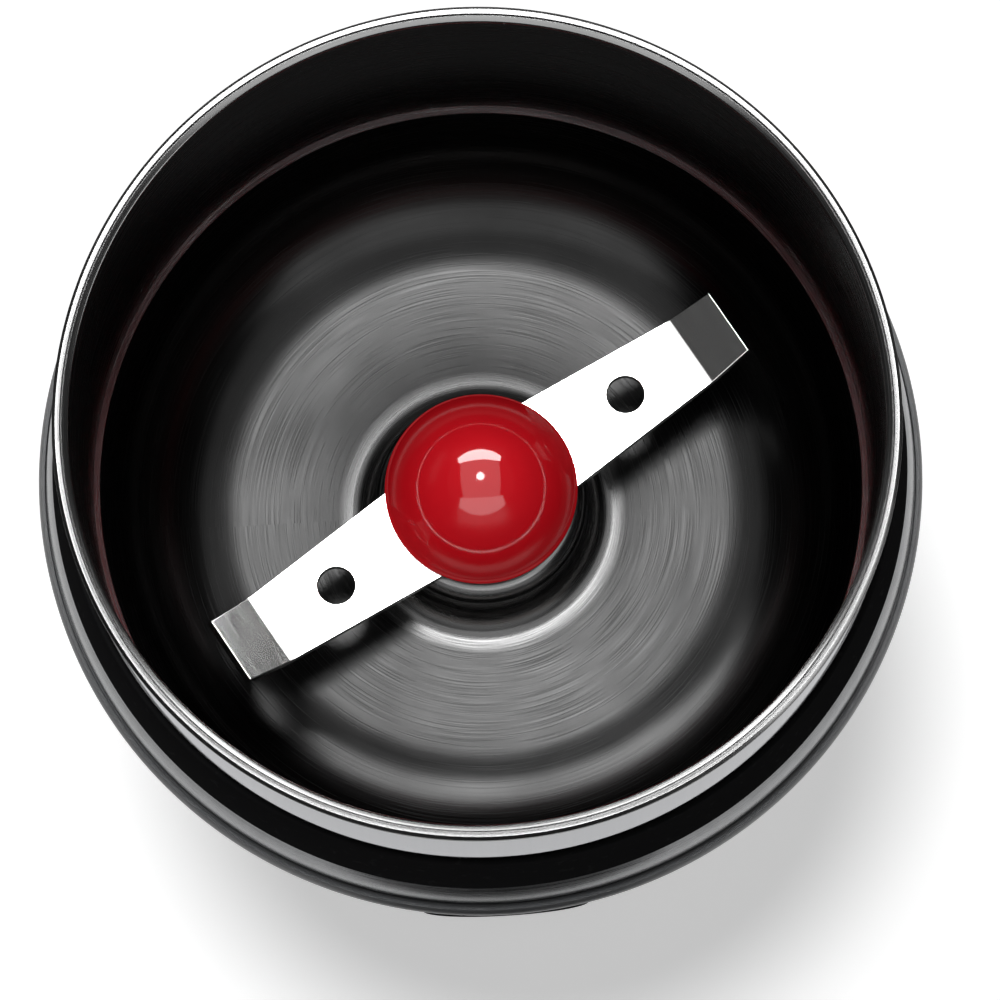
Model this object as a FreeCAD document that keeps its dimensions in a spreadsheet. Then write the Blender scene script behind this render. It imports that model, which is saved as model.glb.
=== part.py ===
import FreeCAD, Part
import math
import os
import Sketcher

# Electric spice grinder with its lid off: a motor base, a lift-out steel bowl
# and a two-winged cutting blade. Millimetres, Z up, origin on the table under the middle.
# The front with the push button faces -Y and the cord inlet is at the back.

SIZES = [
    # bowl
    ("rim_height", 131.0),
    ("rim_radius", 45.0),
    ("rim_width", 1.7),
    ("rim_lip", 1.0),
    ("sleeve_tuck", 0.3),
    ("rim_round", 0.45),
    ("cup_wall", 0.8),
    ("cup_depth", 54.0),
    ("cup_step_depth", 35.5),
    ("cup_step", 0.7),
    ("cup_corner", 15.0),
    ("boss_radius", 12.0),
    ("boss_rise", 9.5),
    ("boss_foot", 3.0),
    ("boss_round", 2.0),
    # collar round the bowl
    ("ledge_depth", 16.5),
    ("ledge_lip", 0.5),
    ("ledge_round", 0.25),
    ("band_height", 8.5),
    ("band_flare", 1.5),
    ("band_bow", 22.0),
    ("tongue_wall", 0.9),
    ("grip_height", 5.5),
    ("grip_flare", 1.6),
    ("grip_bow", 14.0),
    ("grip_round", 0.3),
    ("seam_gap", 0.3),
    ("lug_width", 8.0),
    ("lug_length", 3.0),
    ("lug_count", 3.0),
    # housing
    ("lip_proud", 0.5),
    ("lip_height", 1.5),
    ("lip_inset", 0.5),
    ("lip_wall", 1.2),
    ("foot_radius", 38.0),
    ("flare_bow", 900.0),
    ("housing_wall", 2.0),
    ("housing_round", 1.2),
    ("foot_gap", 2.5),
    ("boss_inset", 8.0),
    ("boss_post", 3.5),
    ("boss_top", 16.0),
    ("rib_wall", 2.0),
    ("post_count", 4.0),
    # well that takes the bowl
    ("well_gap", 0.5),
    ("well_wall", 1.3),
    ("well_clear", 0.79),
    ("spill_radius", 11.0),
    ("spill_wall", 1.3),
    ("spill_height", 3.8),
    # foot of the bowl and its bearing hub
    ("base_radius", 30.0),
    ("base_wall", 2.0),
    ("base_drop", 10.2),
    ("hub_flange", 2.5),
    ("hub_flange_radius", 21.5),
    ("web_wall", 2.5),
    ("opening_radius", 13.0),
    ("spigot_radius", 5.9),
    ("washer_wall", 0.7),
    ("washer_radius", 9.0),
    ("bush_radius", 5.0),
    ("bush_length", 5.0),
    ("seal_height", 0.9),
    ("hub_screw_circle", 17.9),
    ("hub_screw_count", 3.0),
    # blade
    ("shaft_radius", 3.0),
    ("blade_rise", 13.0),
    ("blade_wall", 1.2),
    ("blade_reach", 33.6),
    ("blade_bend_at", 28.0),
    ("blade_bend_angle", 27.0),
    ("blade_bend_round", 1.6),
    ("blade_root_width", 12.9),
    ("blade_tip_width", 7.8),
    ("blade_hole_radius", 2.1),
    ("blade_hole_circle", 19.6),
    ("blade_heading", 30.5),
    ("shoulder_radius", 5.2),
    ("flat_span", 4.8),
    ("nut_height", 4.0),
    ("nut_flats", 10.0),
    ("clamp_radius", 8.0),
    ("clamp_wall", 1.0),
    ("cap_radius", 10.7),
    ("cap_height", 8.6),
    ("cap_wall", 1.1),
    ("cap_brim", 0.7),
    # claw coupling
    ("dog_radius", 8.5),
    ("dog_body", 4.5),
    ("dog_tooth", 3.3),
    ("dog_bore_clear", 1.6),
    ("tooth_angle", 40.0),
    ("tooth_count", 4.0),
    ("drive_body", 4.6),
    # motor
    ("stator_width", 54.0),
    ("stator_depth", 52.0),
    ("stator_round", 12.0),
    ("air_gap", 0.5),
    ("armature_radius", 14.0),
    ("slot_count", 12.0),
    ("slot_width", 4.0),
    ("slot_depth", 5.5),
    ("slot_opening", 1.2),
    ("winding_radius", 12.5),
    ("winding_rise", 4.0),
    ("coil_reach", 20.0),
    ("coil_bar", 6.0),
    ("coil_from", 15.0),
    ("coil_round", 3.5),
    ("coil_rise", 5.0),
    ("coil_gap", 0.5),
    ("commutator_radius", 9.5),
    ("commutator_length", 11.0),
    ("bar_count", 24.0),
    ("bar_gap", 0.5),
    ("bar_deep", 0.75),
    ("fan_radius", 18.5),
    ("fan_disc", 1.2),
    ("fan_blade", 3.8),
    ("fan_count", 12.0),
    ("fan_hub", 6.0),
    ("fan_collar", 0.5),
    ("bearing_radius", 7.5),
    ("bearing_width", 5.0),
    ("bracket_wall", 2.5),
    ("bracket_hub_wall", 2.0),
    ("bracket_lip", 1.0),
    ("bearing_rise", 0.5),
    ("lower_plate", 8.5),
    ("mount_height", 2.9),
    ("rotor_gap", 1.0),
    ("upper_disc", 31.5),
    ("post_reach", 23.5),
    ("post_radius", 3.2),
    ("arm_width", 12.0),
    ("arm_reach", 26.5),
    ("holder_near", 12.0),
    ("holder_width", 10.0),
    ("brush_base", 4.0),
    ("brush_roof", 1.5),
    ("brush_cap", 1.2),
    ("brush_width", 5.0),
    ("brush_height", 6.0),
    ("brush_length", 8.0),
    ("spring_wire", 0.3),
    ("spring_radius", 1.9),
    ("spring_turns", 5.0),
    ("mount_circle", 26.0),
    ("mount_radius", 5.2),
    ("mount_post", 2.6),
    ("mount_count", 4.0),
    # push button and switch
    ("button_lift", 5.0),
    ("button_radius", 7.5),
    ("button_proud", 0.4),
    ("button_travel", 2.5),
    ("button_dome", 45.0),
    ("button_flange", 1.3),
    ("button_stem", 2.0),
    ("bezel_proud", 0.2),
    ("bezel_wall", 2.0),
    ("bezel_flange", 1.6),
    ("bezel_depth", 5.2),
    ("switch_width", 20.0),
    ("switch_tall", 14.0),
    ("switch_deep", 5.0),
    ("switch_drop", 3.0),
    # underside and inlet
    ("cover_wall", 2.2),
    ("foot_inset", 10.0),
    ("pad_radius", 5.0),
    ("pad_taper", 12.0),
    ("stem_radius", 2.0),
    ("vent_count", 12.0),
    ("vent_width", 2.4),
    ("vent_near", 9.0),
    ("vent_far", 20.0),
    ("inlet_height", 14.0),
    ("inlet_boss", 7.5),
    ("inlet_proud", 2.8),
    ("inlet_neck", 4.5),
    ("inlet_bore", 3.0),
    ("inlet_flange", 1.5),
    # fits and screws
    ("fit", 0.05),
    ("run", 0.03),
    ("play", 0.3),
    ("screw_radius", 1.5),
    ("screw_head", 2.8),
    ("screw_recess", 1.05),
    ("head_height", 1.8),
]

doc = FreeCAD.newDocument("spice_grinder")
sheet = doc.addObject("Spreadsheet::Sheet", "Sizes")
parts = []


class Size:
    """A number together with the sheet expression that gives it."""

    def __init__(self, value, text):
        self.value = value
        self.text = text

    def __add__(self, other):
        other = as_size(other)
        return Size(self.value + other.value, f"({self.text} + {other.text})")

    def __sub__(self, other):
        other = as_size(other)
        return Size(self.value - other.value, f"({self.text} - {other.text})")

    def __mul__(self, other):
        other = as_size(other)
        return Size(self.value * other.value, f"({self.text} * {other.text})")

    def __truediv__(self, other):
        other = as_size(other)
        return Size(self.value / other.value, f"({self.text} / {other.text})")

    def __neg__(self):
        return Size(-self.value, f"(0 - {self.text})")

    __rmul__ = __mul__


def as_size(value):
    """A plain number as a Size."""
    if isinstance(value, Size):
        return value
    return Size(float(value), repr(float(value)))


def root(size):
    """Square root of a Size."""
    return Size(math.sqrt(size.value), f"sqrt({size.text})")


def turned_by(size, function_name):
    """Sine, cosine or tangent of an angle in degrees."""
    function = getattr(math, function_name)
    return Size(function(math.radians(size.value)), f"{function_name}({size.text})")


def fill_sheet():
    """Writes the sizes into the sheet and returns them by name."""
    for row, (name, value) in enumerate(SIZES, start=1):
        sheet.set(f"A{row}", name)
        sheet.set(f"B{row}", str(value))
        sheet.setAlias(f"B{row}", name)
    doc.recompute()
    return {name: Size(sheet.get(name), f"Sizes.{name}") for name, _ in SIZES}


class Names:
    """The sizes as attributes."""

    def __init__(self, values):
        self.__dict__.update(values)


s = Names(fill_sheet())


def new_body(label):
    body = doc.addObject("PartDesign::Body", label)
    body.Label = label
    parts.append(body)
    return body


def origin_feature(body, role):
    return [item for item in body.Origin.OriginFeatures if item.Role == role][0]


def add_sketch(body, role, level=None, lift=None):
    """A sketch on one of the body's own planes, moved along its normal by level and up by lift."""
    sketch = body.newObject("Sketcher::SketchObject", f"{body.Name}_sketch")
    sketch.AttachmentSupport = [(origin_feature(body, role), "")]
    sketch.MapMode = "FlatFace"
    if level is not None:
        sketch.setExpression("AttachmentOffset.Base.z", level.text)
    if lift is not None:
        sketch.setExpression("AttachmentOffset.Base.y", lift.text)
    return sketch


def hold(sketch, kind, target, size):
    """One driving constraint bound to a size. The target is (geometry, point) or (geometry,)."""
    if kind == "Radius":
        index = sketch.addConstraint(Sketcher.Constraint(kind, target[0], size.value))
    else:
        index = sketch.addConstraint(Sketcher.Constraint(kind, -1, 1, target[0], target[1], size.value))
    sketch.setExpression(f"Constraints[{index}]", size.text)


def arc_between(first, second, bow):
    """Arc from first to second. A positive bow turns left on the way, a negative one right."""
    radius = abs(bow)
    chord = second - first
    half = chord.Length / 2
    rise = math.sqrt(max(radius * radius - half * half, 0.0))
    left = FreeCAD.Vector(-chord.y, chord.x, 0).normalize()
    side = 1 if bow > 0 else -1
    centre = (first + second) / 2 + left * rise * side
    start, stop = (first, second) if bow > 0 else (second, first)
    angle_a = math.atan2(start.y - centre.y, start.x - centre.x)
    angle_b = math.atan2(stop.y - centre.y, stop.x - centre.x)
    if angle_b < angle_a:
        angle_b += 2 * math.pi
    circle = Part.Circle(centre, FreeCAD.Vector(0, 0, 1), radius)
    return Part.ArcOfCircle(circle, angle_a, angle_b)


def add_loop(sketch, corners):
    """A closed outline. A corner is (x, y), or (x, y, bow) where an arc leaves it."""
    places = []
    for corner in corners:
        places.append([as_size(item) for item in corner])
    points = [FreeCAD.Vector(place[0].value, place[1].value, 0) for place in places]
    ends = []
    for index, place in enumerate(places):
        first = points[index]
        second = points[(index + 1) % len(points)]
        if len(place) == 3:
            geometry = sketch.addGeometry(arc_between(first, second, place[2].value), False)
            ends.append((geometry, 1, 2) if place[2].value > 0 else (geometry, 2, 1))
        else:
            geometry = sketch.addGeometry(Part.LineSegment(first, second), False)
            ends.append((geometry, 1, 2))
    for index, place in enumerate(places):
        geometry, start, _ = ends[index]
        before = ends[index - 1]
        sketch.addConstraint(Sketcher.Constraint("Coincident", before[0], before[2], geometry, start))
        hold(sketch, "DistanceX", (geometry, start), place[0])
        hold(sketch, "DistanceY", (geometry, start), place[1])
        if len(place) == 3:
            bow = place[2] if place[2].value > 0 else -place[2]
            hold(sketch, "Radius", (geometry,), bow)


def add_circle(sketch, x, y, radius):
    x = as_size(x)
    y = as_size(y)
    circle = Part.Circle(FreeCAD.Vector(x.value, y.value, 0), FreeCAD.Vector(0, 0, 1), radius.value)
    geometry = sketch.addGeometry(circle, False)
    hold(sketch, "DistanceX", (geometry, 3), x)
    hold(sketch, "DistanceY", (geometry, 3), y)
    hold(sketch, "Radius", (geometry,), radius)


def add_box(sketch, x, y, width, depth):
    """A rectangle about (x, y)."""
    x, y, width, depth = (as_size(item) for item in (x, y, width, depth))
    left = x - width / 2
    right = x + width / 2
    low = y - depth / 2
    high = y + depth / 2
    add_loop(sketch, [(left, low), (right, low), (right, high), (left, high)])


def rounded_box(width, depth, corner):
    """Corners of a rectangle about the origin with rounded corners."""
    across = width / 2
    along = depth / 2
    return [
        (-across + corner, -along), (across - corner, -along, corner),
        (across, -along + corner), (across, along - corner, corner),
        (across - corner, along), (-across + corner, along, corner),
        (-across, along - corner), (-across, -along + corner, corner),
    ]


def revolve(body, corners, cut=False):
    """Turns an outline of (radius, height) corners about Z."""
    sketch = add_sketch(body, "XZ_Plane")
    add_loop(sketch, corners)
    kind = "PartDesign::Groove" if cut else "PartDesign::Revolution"
    feature = body.newObject(kind, f"{body.Name}_turn")
    feature.Profile = sketch
    feature.ReferenceAxis = (sketch, ["V_Axis"])
    feature.Angle = 360
    return feature


def pad(body, sketch, length, reverse=False, middle=False):
    feature = body.newObject("PartDesign::Pad", f"{body.Name}_pad")
    feature.Profile = sketch
    feature.setExpression("Length", length.text)
    feature.Reversed = reverse
    if middle:
        feature.SideType = "Symmetric"
    return feature


def pocket(body, sketch, length, reverse=False, middle=False):
    """Cuts from the sketch and fails if nothing was cut. Plain pockets cut against the normal."""
    doc.recompute()
    before = body.Shape.Volume
    feature = body.newObject("PartDesign::Pocket", f"{body.Name}_cut")
    feature.Profile = sketch
    feature.setExpression("Length", length.text)
    feature.Reversed = reverse
    if middle:
        feature.SideType = "Symmetric"
    doc.recompute()
    if body.Shape.Volume > before - 1e-6:
        raise ValueError(f"{body.Label}: a pocket cuts nothing")
    return feature


def polar(body, features, count, role="Z_Axis"):
    pattern = body.newObject("PartDesign::PolarPattern", f"{body.Name}_polar")
    pattern.Originals = features
    pattern.Axis = (origin_feature(body, role), [""])
    pattern.Angle = 360
    pattern.setExpression("Occurrences", count.text)
    body.Tip = pattern
    return pattern


def turned(label, corners):
    """A sub-part turned about Z."""
    body = new_body(label)
    revolve(body, corners)
    return body


def tube(inner, outer, low, high):
    """Corners of a plain ring."""
    return [(inner, low), (outer, low), (outer, high), (inner, high)]


# levels, from the table up
rim_top = s.rim_height
cup_floor = rim_top - s.cup_depth
cup_under = cup_floor - s.cup_wall
cup_in = s.rim_radius - s.rim_width
cup_out = cup_in + s.cup_wall
ledge_top = rim_top - s.ledge_depth
band_low = ledge_top - s.band_height
seam_top = band_low - s.grip_height
housing_top = seam_top - s.seam_gap
step_top = rim_top - s.cup_step_depth
boss_top = cup_floor + s.boss_rise
base_low = cup_floor - s.cup_wall - s.base_drop
well_floor = base_low - s.play
well_under = well_floor - s.well_wall
blade_mid = cup_floor + s.blade_rise
blade_low = blade_mid - s.blade_wall / 2
blade_high = blade_mid + s.blade_wall / 2
flange_low = cup_under - s.hub_flange
web_low = flange_low - s.web_wall
dog_high = flange_low + s.hub_flange - s.cup_wall / 2
dog_low = dog_high - s.dog_body
tooth_low = dog_low - s.dog_tooth
drive_tip = dog_low - s.play
drive_high = tooth_low - s.play
drive_low = drive_high - s.drive_body
cover_top = s.foot_gap + s.cover_wall
mount_low = well_under - s.mount_height
upper_plate = mount_low - s.bracket_wall
upper_bearing_low = mount_low - s.bearing_width
bearing_low = s.lower_plate - s.bearing_rise
commutator_low = bearing_low + s.bearing_width + s.rotor_gap
commutator_high = commutator_low + s.commutator_length
fan_top = upper_plate - s.coil_gap - s.fan_blade
fan_low = fan_top - s.fan_disc
coil_top = fan_low - s.rotor_gap
# the iron stack fills the room between the commutator and the fan
stack_low = commutator_high + s.winding_rise
stack_high = coil_top - s.coil_rise - s.coil_gap
stack_height = stack_high - stack_low
stack_centre = (stack_low + stack_high) / 2
coil_half = stack_height / 2 + s.coil_gap
button_height = stack_high + s.button_lift

# radii and faces that follow from the bowl, the foot and the heights
lip_radius = s.rim_radius + s.ledge_lip + s.band_flare + s.grip_flare + s.lip_proud
housing_lip = housing_top - s.lip_height
boss_circle = s.foot_radius - s.boss_inset
foot_circle = s.foot_radius - s.foot_inset
inlet_face = s.foot_radius + s.inlet_proud
quarter = as_size(90)
eighth = quarter / 2


def shell_radius(height):
    """Outer radius of the housing at a height: its chord less the sag of its hollow curve."""
    low = s.foot_gap + s.housing_round
    span = housing_lip - low
    flare = lip_radius - s.foot_radius
    share = (height - low) / span
    sag = (span * span + flare * flare) * share * (as_size(1) - share) / (s.flare_bow * 2)
    return s.foot_radius + flare * share - sag


bezel_face = shell_radius(button_height) + s.bezel_proud
well_floor_radius = shell_radius(well_floor) - s.housing_wall - s.well_wall - s.well_clear


def grinding_cup():
    inner = cup_in - s.cup_step
    outer = cup_out - s.cup_step
    bend = inner - s.cup_corner
    hole = s.spigot_radius + s.fit
    boss_in = s.boss_radius - s.cup_wall
    boss_flat = s.boss_radius - s.boss_round
    turned("grinding_cup", [
        (cup_in, rim_top - s.rim_round, -s.rim_round),
        (cup_in + s.rim_round, rim_top),
        (s.rim_radius - s.rim_round, rim_top, -s.rim_round),
        (s.rim_radius, rim_top - s.rim_round),
        (s.rim_radius, rim_top - s.rim_lip),
        (cup_out, rim_top - s.rim_lip),
        (cup_out, step_top),
        (outer, step_top - s.cup_step),
        (outer, cup_floor + s.cup_corner, -(s.cup_corner + s.cup_wall)),
        (bend, cup_under),
        (s.boss_radius + s.boss_foot, cup_under, -(s.boss_foot + s.cup_wall)),
        (boss_in, cup_floor + s.boss_foot),
        (boss_in, boss_top - s.boss_round, s.boss_round - s.cup_wall),
        (boss_flat, boss_top - s.cup_wall),
        (hole, boss_top - s.cup_wall),
        (hole, boss_top),
        (boss_flat, boss_top, -s.boss_round),
        (s.boss_radius, boss_top - s.boss_round),
        (s.boss_radius, cup_floor + s.boss_foot, s.boss_foot),
        (s.boss_radius + s.boss_foot, cup_floor),
        (bend, cup_floor, s.cup_corner),
        (inner, cup_floor + s.cup_corner),
        (inner, step_top - s.cup_step),
        (cup_in, step_top),
    ])


def rim_sleeve():
    """The outer wall, held between the rim and the ledge, with its foot drawn in a little."""
    inner = cup_out + s.fit
    foot = s.rim_radius - s.sleeve_tuck
    neck = ledge_top + s.play
    turned("rim_sleeve", [
        (inner, ledge_top),
        (foot, ledge_top),
        (foot, neck),
        (s.rim_radius, neck),
        (s.rim_radius, rim_top - s.rim_lip),
        (inner, rim_top - s.rim_lip),
    ])


def collar_band():
    inner = cup_out + s.fit
    near = s.rim_radius
    far = near + s.tongue_wall
    top = s.rim_radius + s.ledge_lip
    wide = top + s.band_flare
    body = turned("collar_band", [
        (inner, seam_top),
        (far, seam_top),
        (far, band_low),
        (wide, band_low, -s.band_bow),
        (top, ledge_top - s.ledge_round, s.ledge_round),
        (top - s.ledge_round, ledge_top),
        (inner, ledge_top),
    ])
    sketch = add_sketch(body, "XY_Plane", seam_top)
    half = s.lug_width / 2
    chord = root(near * near - half * half)
    reach = root(far * far - half * half)
    add_loop(sketch, [(chord, -half), (reach, -half, far), (reach, half), (chord, half, -near)])
    lug = pad(body, sketch, s.lug_length, reverse=True)
    polar(body, [lug], s.lug_count)


def grip_ring():
    inner = s.rim_radius + s.tongue_wall + s.fit
    top = s.rim_radius + s.ledge_lip + s.band_flare
    low = top + s.grip_flare
    turned("grip_ring", [
        (inner, seam_top),
        (low - s.grip_round, seam_top, s.grip_round),
        (low, seam_top + s.grip_round, s.grip_bow),
        (top, band_low),
        (inner, band_low),
    ])


def cup_base():
    inner = s.opening_radius
    body = turned("cup_base", [
        (inner, base_low),
        (inner + s.base_wall, base_low),
        (inner + s.base_wall, web_low),
        (s.base_radius - s.base_wall, web_low),
        (s.base_radius - s.base_wall, base_low),
        (s.base_radius, base_low),
        (s.base_radius, cup_under),
        (s.base_radius - s.base_wall, cup_under),
        (s.base_radius - s.base_wall, flange_low),
        (s.dog_radius + s.dog_bore_clear / 2, flange_low),
        (s.dog_radius + s.dog_bore_clear / 2, web_low),
        (inner, web_low),
    ])
    sketch = add_sketch(body, "XY_Plane", web_low)
    add_circle(sketch, s.hub_screw_circle, 0, s.screw_radius + s.fit)
    hole = pocket(body, sketch, s.web_wall, reverse=True)
    polar(body, [hole], s.hub_screw_count)


def bearing_hub():
    column = s.boss_radius - s.cup_wall - s.fit * 2
    chamfer = s.boss_round - s.cup_wall + s.fit
    top = boss_top - s.cup_wall
    lift = boss_top + s.washer_wall + s.fit
    body = turned("bearing_hub", [
        (s.dog_radius + s.dog_bore_clear / 2, flange_low),
        (s.hub_flange_radius, flange_low),
        (s.hub_flange_radius, cup_under),
        (column, cup_under),
        (column, top - chamfer),
        (column - chamfer, top),
        (s.spigot_radius, top),
        (s.spigot_radius, lift),
        (s.bush_radius, lift),
        (s.bush_radius, dog_high + s.play),
        (s.dog_radius + s.dog_bore_clear / 2, dog_high + s.play),
    ])
    sketch = add_sketch(body, "XY_Plane", flange_low)
    add_circle(sketch, s.hub_screw_circle, 0, s.screw_radius + s.fit)
    hole = pocket(body, sketch, s.hub_flange, reverse=True)
    polar(body, [hole], s.hub_screw_count)


def hub_washer():
    turned("hub_washer", tube(s.spigot_radius + s.fit, s.washer_radius, boss_top, boss_top + s.washer_wall))


def bowl_bushes():
    low = dog_high + s.play + s.clamp_wall
    turned("lower_bush", tube(s.shaft_radius + s.run, s.bush_radius - s.fit, low, low + s.bush_length))
    high = boss_top + s.washer_wall
    turned("upper_bush", tube(s.shaft_radius + s.run, s.bush_radius - s.fit, high - s.bush_length, high))


def shaft_seal():
    low = boss_top + s.washer_wall + s.fit
    inner = s.shaft_radius + s.fit
    turned("shaft_seal", [
        (inner, low),
        (s.shoulder_radius, low),
        (s.shoulder_radius, low + s.seal_height / 2),
        (inner + s.seal_height / 2, low + s.seal_height),
        (inner, low + s.seal_height),
    ])


def screw_group(label, distance, count, radius, head, head_low, head_height, tip, turn=None):
    """Identical screws pointing up on a circle, as pads of their heads and shanks."""
    body = new_body(label)
    angle = as_size(0) if turn is None else as_size(turn)
    x = distance * turned_by(angle, "cos")
    y = distance * turned_by(angle, "sin")
    sketch = add_sketch(body, "XY_Plane", head_low)
    add_circle(sketch, x, y, head)
    first = pad(body, sketch, head_height)
    sketch = add_sketch(body, "XY_Plane", head_low + head_height)
    add_circle(sketch, x, y, radius)
    second = pad(body, sketch, tip - head_low - head_height)
    doc.recompute()
    sketch = add_sketch(body, "XY_Plane", head_low)
    add_circle(sketch, x, y, s.screw_recess)
    recess = pocket(body, sketch, head_height / 2, reverse=True)
    polar(body, [first, second, recess], count)


def hub_screws():
    screw_group("hub_screws", s.hub_screw_circle, s.hub_screw_count, s.screw_radius, s.screw_head,
                web_low - s.head_height, s.head_height, cup_under - s.play)


def turn_to_heading(body):
    """Turns a sub-part of the blade stack to the blade's heading."""
    body.Placement = FreeCAD.Placement(FreeCAD.Vector(), FreeCAD.Rotation(FreeCAD.Vector(0, 0, 1), 0))
    body.setExpression("Placement.Rotation.Angle", s.blade_heading.text)


def blade_shaft():
    seal_top = boss_top + s.washer_wall + s.fit + s.seal_height
    top = blade_high + s.clamp_wall + s.nut_height + s.play * 2
    body = turned("blade_shaft", [
        (0, dog_low),
        (s.shaft_radius, dog_low),
        (s.shaft_radius, seal_top + s.play),
        (s.shoulder_radius, seal_top + s.play),
        (s.shoulder_radius, blade_low),
        (s.shaft_radius, blade_low),
        (s.shaft_radius, top - s.play),
        (s.shaft_radius - s.play, top),
        (0, top),
    ])
    sketch = add_sketch(body, "XY_Plane", blade_low)
    side = s.shaft_radius
    x = (s.flat_span + side) / 2
    add_box(sketch, x, 0, side, side * 3)
    add_box(sketch, -x, 0, side, side * 3)
    pocket(body, sketch, s.blade_wall + s.fit, reverse=True)
    turn_to_heading(body)


def grinding_blade():
    body = new_body("grinding_blade")
    bend = turned_by(s.blade_bend_angle, "sin")
    level = turned_by(s.blade_bend_angle, "cos")
    half_turn = turned_by(s.blade_bend_angle / 2, "tan")
    top_round = s.blade_bend_round
    low_round = top_round + s.blade_wall
    # the upper face turns about a centre above the blade
    start = s.blade_bend_at
    turn_x = start + top_round * bend
    turn_z = blade_high + top_round * (as_size(1) - level)
    low_x = start + low_round * bend
    low_z = blade_low + low_round * (as_size(1) - level)
    tip_x = s.blade_reach
    run = (tip_x - turn_x) / level
    tip_z = turn_z + run * bend
    low_tip_x = tip_x + s.blade_wall * bend
    low_tip_z = tip_z - s.blade_wall * level
    sketch = add_sketch(body, "XZ_Plane")
    add_loop(sketch, [
        (-start, blade_low), (start, blade_low, low_round), (low_x, low_z),
        (low_tip_x, low_tip_z), (tip_x, tip_z), (turn_x, turn_z, -top_round),
        (start, blade_high), (-start, blade_high, -top_round), (-turn_x, turn_z),
        (-tip_x, tip_z), (-low_tip_x, low_tip_z), (-low_x, low_z, low_round),
    ])
    pad(body, sketch, s.blade_root_width, middle=True)
    # both wings taper towards their tips
    reach = s.blade_reach + s.blade_wall
    root_half = s.blade_root_width / 2
    tip_half = s.blade_tip_width / 2
    sketch = add_sketch(body, "XY_Plane", blade_low)
    for side in (1, -1):
        for end in (1, -1):
            add_loop(sketch, [
                (0, root_half * side),
                (reach * end, tip_half * side),
                (reach * end, root_half * side * 2),
                (0, root_half * side * 2),
            ][::side * end])
    pocket(body, sketch, s.blade_reach, reverse=True)
    sketch = add_sketch(body, "XY_Plane", blade_low)
    add_circle(sketch, s.blade_hole_circle, 0, s.blade_hole_radius)
    add_circle(sketch, -s.blade_hole_circle, 0, s.blade_hole_radius)
    pocket(body, sketch, s.blade_wall, reverse=True)
    # the middle hole fits the two flats of the shaft
    bore = s.shaft_radius + s.fit
    flat = s.flat_span / 2 + s.fit
    rise = root(bore * bore - flat * flat)
    sketch = add_sketch(body, "XY_Plane", blade_low)
    add_loop(sketch, [(flat, -rise), (flat, rise, bore), (-flat, rise), (-flat, -rise, bore)])
    pocket(body, sketch, s.blade_wall, reverse=True)
    turn_to_heading(body)


def blade_clamp():
    outline = tube(s.shaft_radius + s.fit, s.clamp_radius, blade_high, blade_high + s.clamp_wall)
    body = turned("blade_washer", outline)
    turn_to_heading(body)
    body = new_body("blade_nut")
    sketch = add_sketch(body, "XY_Plane", blade_high + s.clamp_wall)
    sixth = quarter * 2 / 3
    radius = s.nut_flats / turned_by(sixth / 2, "cos") / 2
    corners = []
    for step in range(6):
        angle = sixth * step
        corners.append((radius * turned_by(angle, "cos"), radius * turned_by(angle, "sin")))
    add_loop(sketch, corners)
    add_circle(sketch, 0, 0, s.shaft_radius + s.fit)
    pad(body, sketch, s.nut_height)
    turn_to_heading(body)


def blade_cap():
    base = blade_high
    top = base + s.cap_height
    radius = s.cap_radius
    brim = base + s.cap_brim
    rise = s.cap_height - s.cap_brim
    dome = (radius * radius + rise * rise) / (rise * 2)
    inner = radius - s.cap_wall
    inner_rise = rise - s.cap_wall
    inner_dome = (inner * inner + inner_rise * inner_rise) / (inner_rise * 2)
    body = turned("blade_cap", [
        (inner, base),
        (radius + s.play / 2, base),
        (radius + s.play / 2, brim - s.play / 2),
        (radius, brim, dome),
        (0, top),
        (0, top - s.cap_wall, -inner_dome),
        (inner, brim),
    ])
    turn_to_heading(body)


def claw(body, level, height, offset, reverse):
    """Teeth of one half of the coupling."""
    angle = s.tooth_angle / 2
    near = s.shaft_radius + s.clamp_wall
    far = s.dog_radius
    corners = []
    for radius, sign in ((near, -1), (far, -1), (far, 1), (near, 1)):
        turn = as_size(offset) + angle * sign
        corners.append((radius * turned_by(turn, "cos"), radius * turned_by(turn, "sin")))
    corners[1] = corners[1] + (far,)
    corners[3] = corners[3] + (-near,)
    sketch = add_sketch(body, "XY_Plane", level)
    add_loop(sketch, corners)
    tooth = pad(body, sketch, height, reverse=reverse)
    polar(body, [tooth], s.tooth_count)


def driven_dog():
    body = turned("driven_dog", tube(s.shaft_radius + s.fit, s.dog_radius, dog_low, dog_high))
    claw(body, dog_low, s.dog_tooth, eighth, True)
    turn_to_heading(body)


def thrust_washer():
    low = dog_high
    turned("thrust_washer", tube(s.shaft_radius + s.fit, s.bush_radius - s.play, low, low + s.clamp_wall))


def housing_outline():
    """The shell's section, open at the foot and stepped at the top for the well."""
    low = s.foot_gap
    high = housing_top
    lip = housing_lip
    top = lip_radius - s.lip_inset
    rebate = lip_radius - s.lip_wall
    inner_foot = s.foot_radius - s.housing_wall
    return [
        (inner_foot, low),
        (s.foot_radius - s.housing_round, low, s.housing_round),
        (s.foot_radius, low + s.housing_round, -s.flare_bow),
        (lip_radius, lip, s.lip_height * 2),
        (top, high),
        (rebate, high),
        (rebate, lip),
        (lip_radius - s.housing_wall, lip, s.flare_bow + s.housing_wall),
        (inner_foot, low + s.housing_round),
    ]


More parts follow.
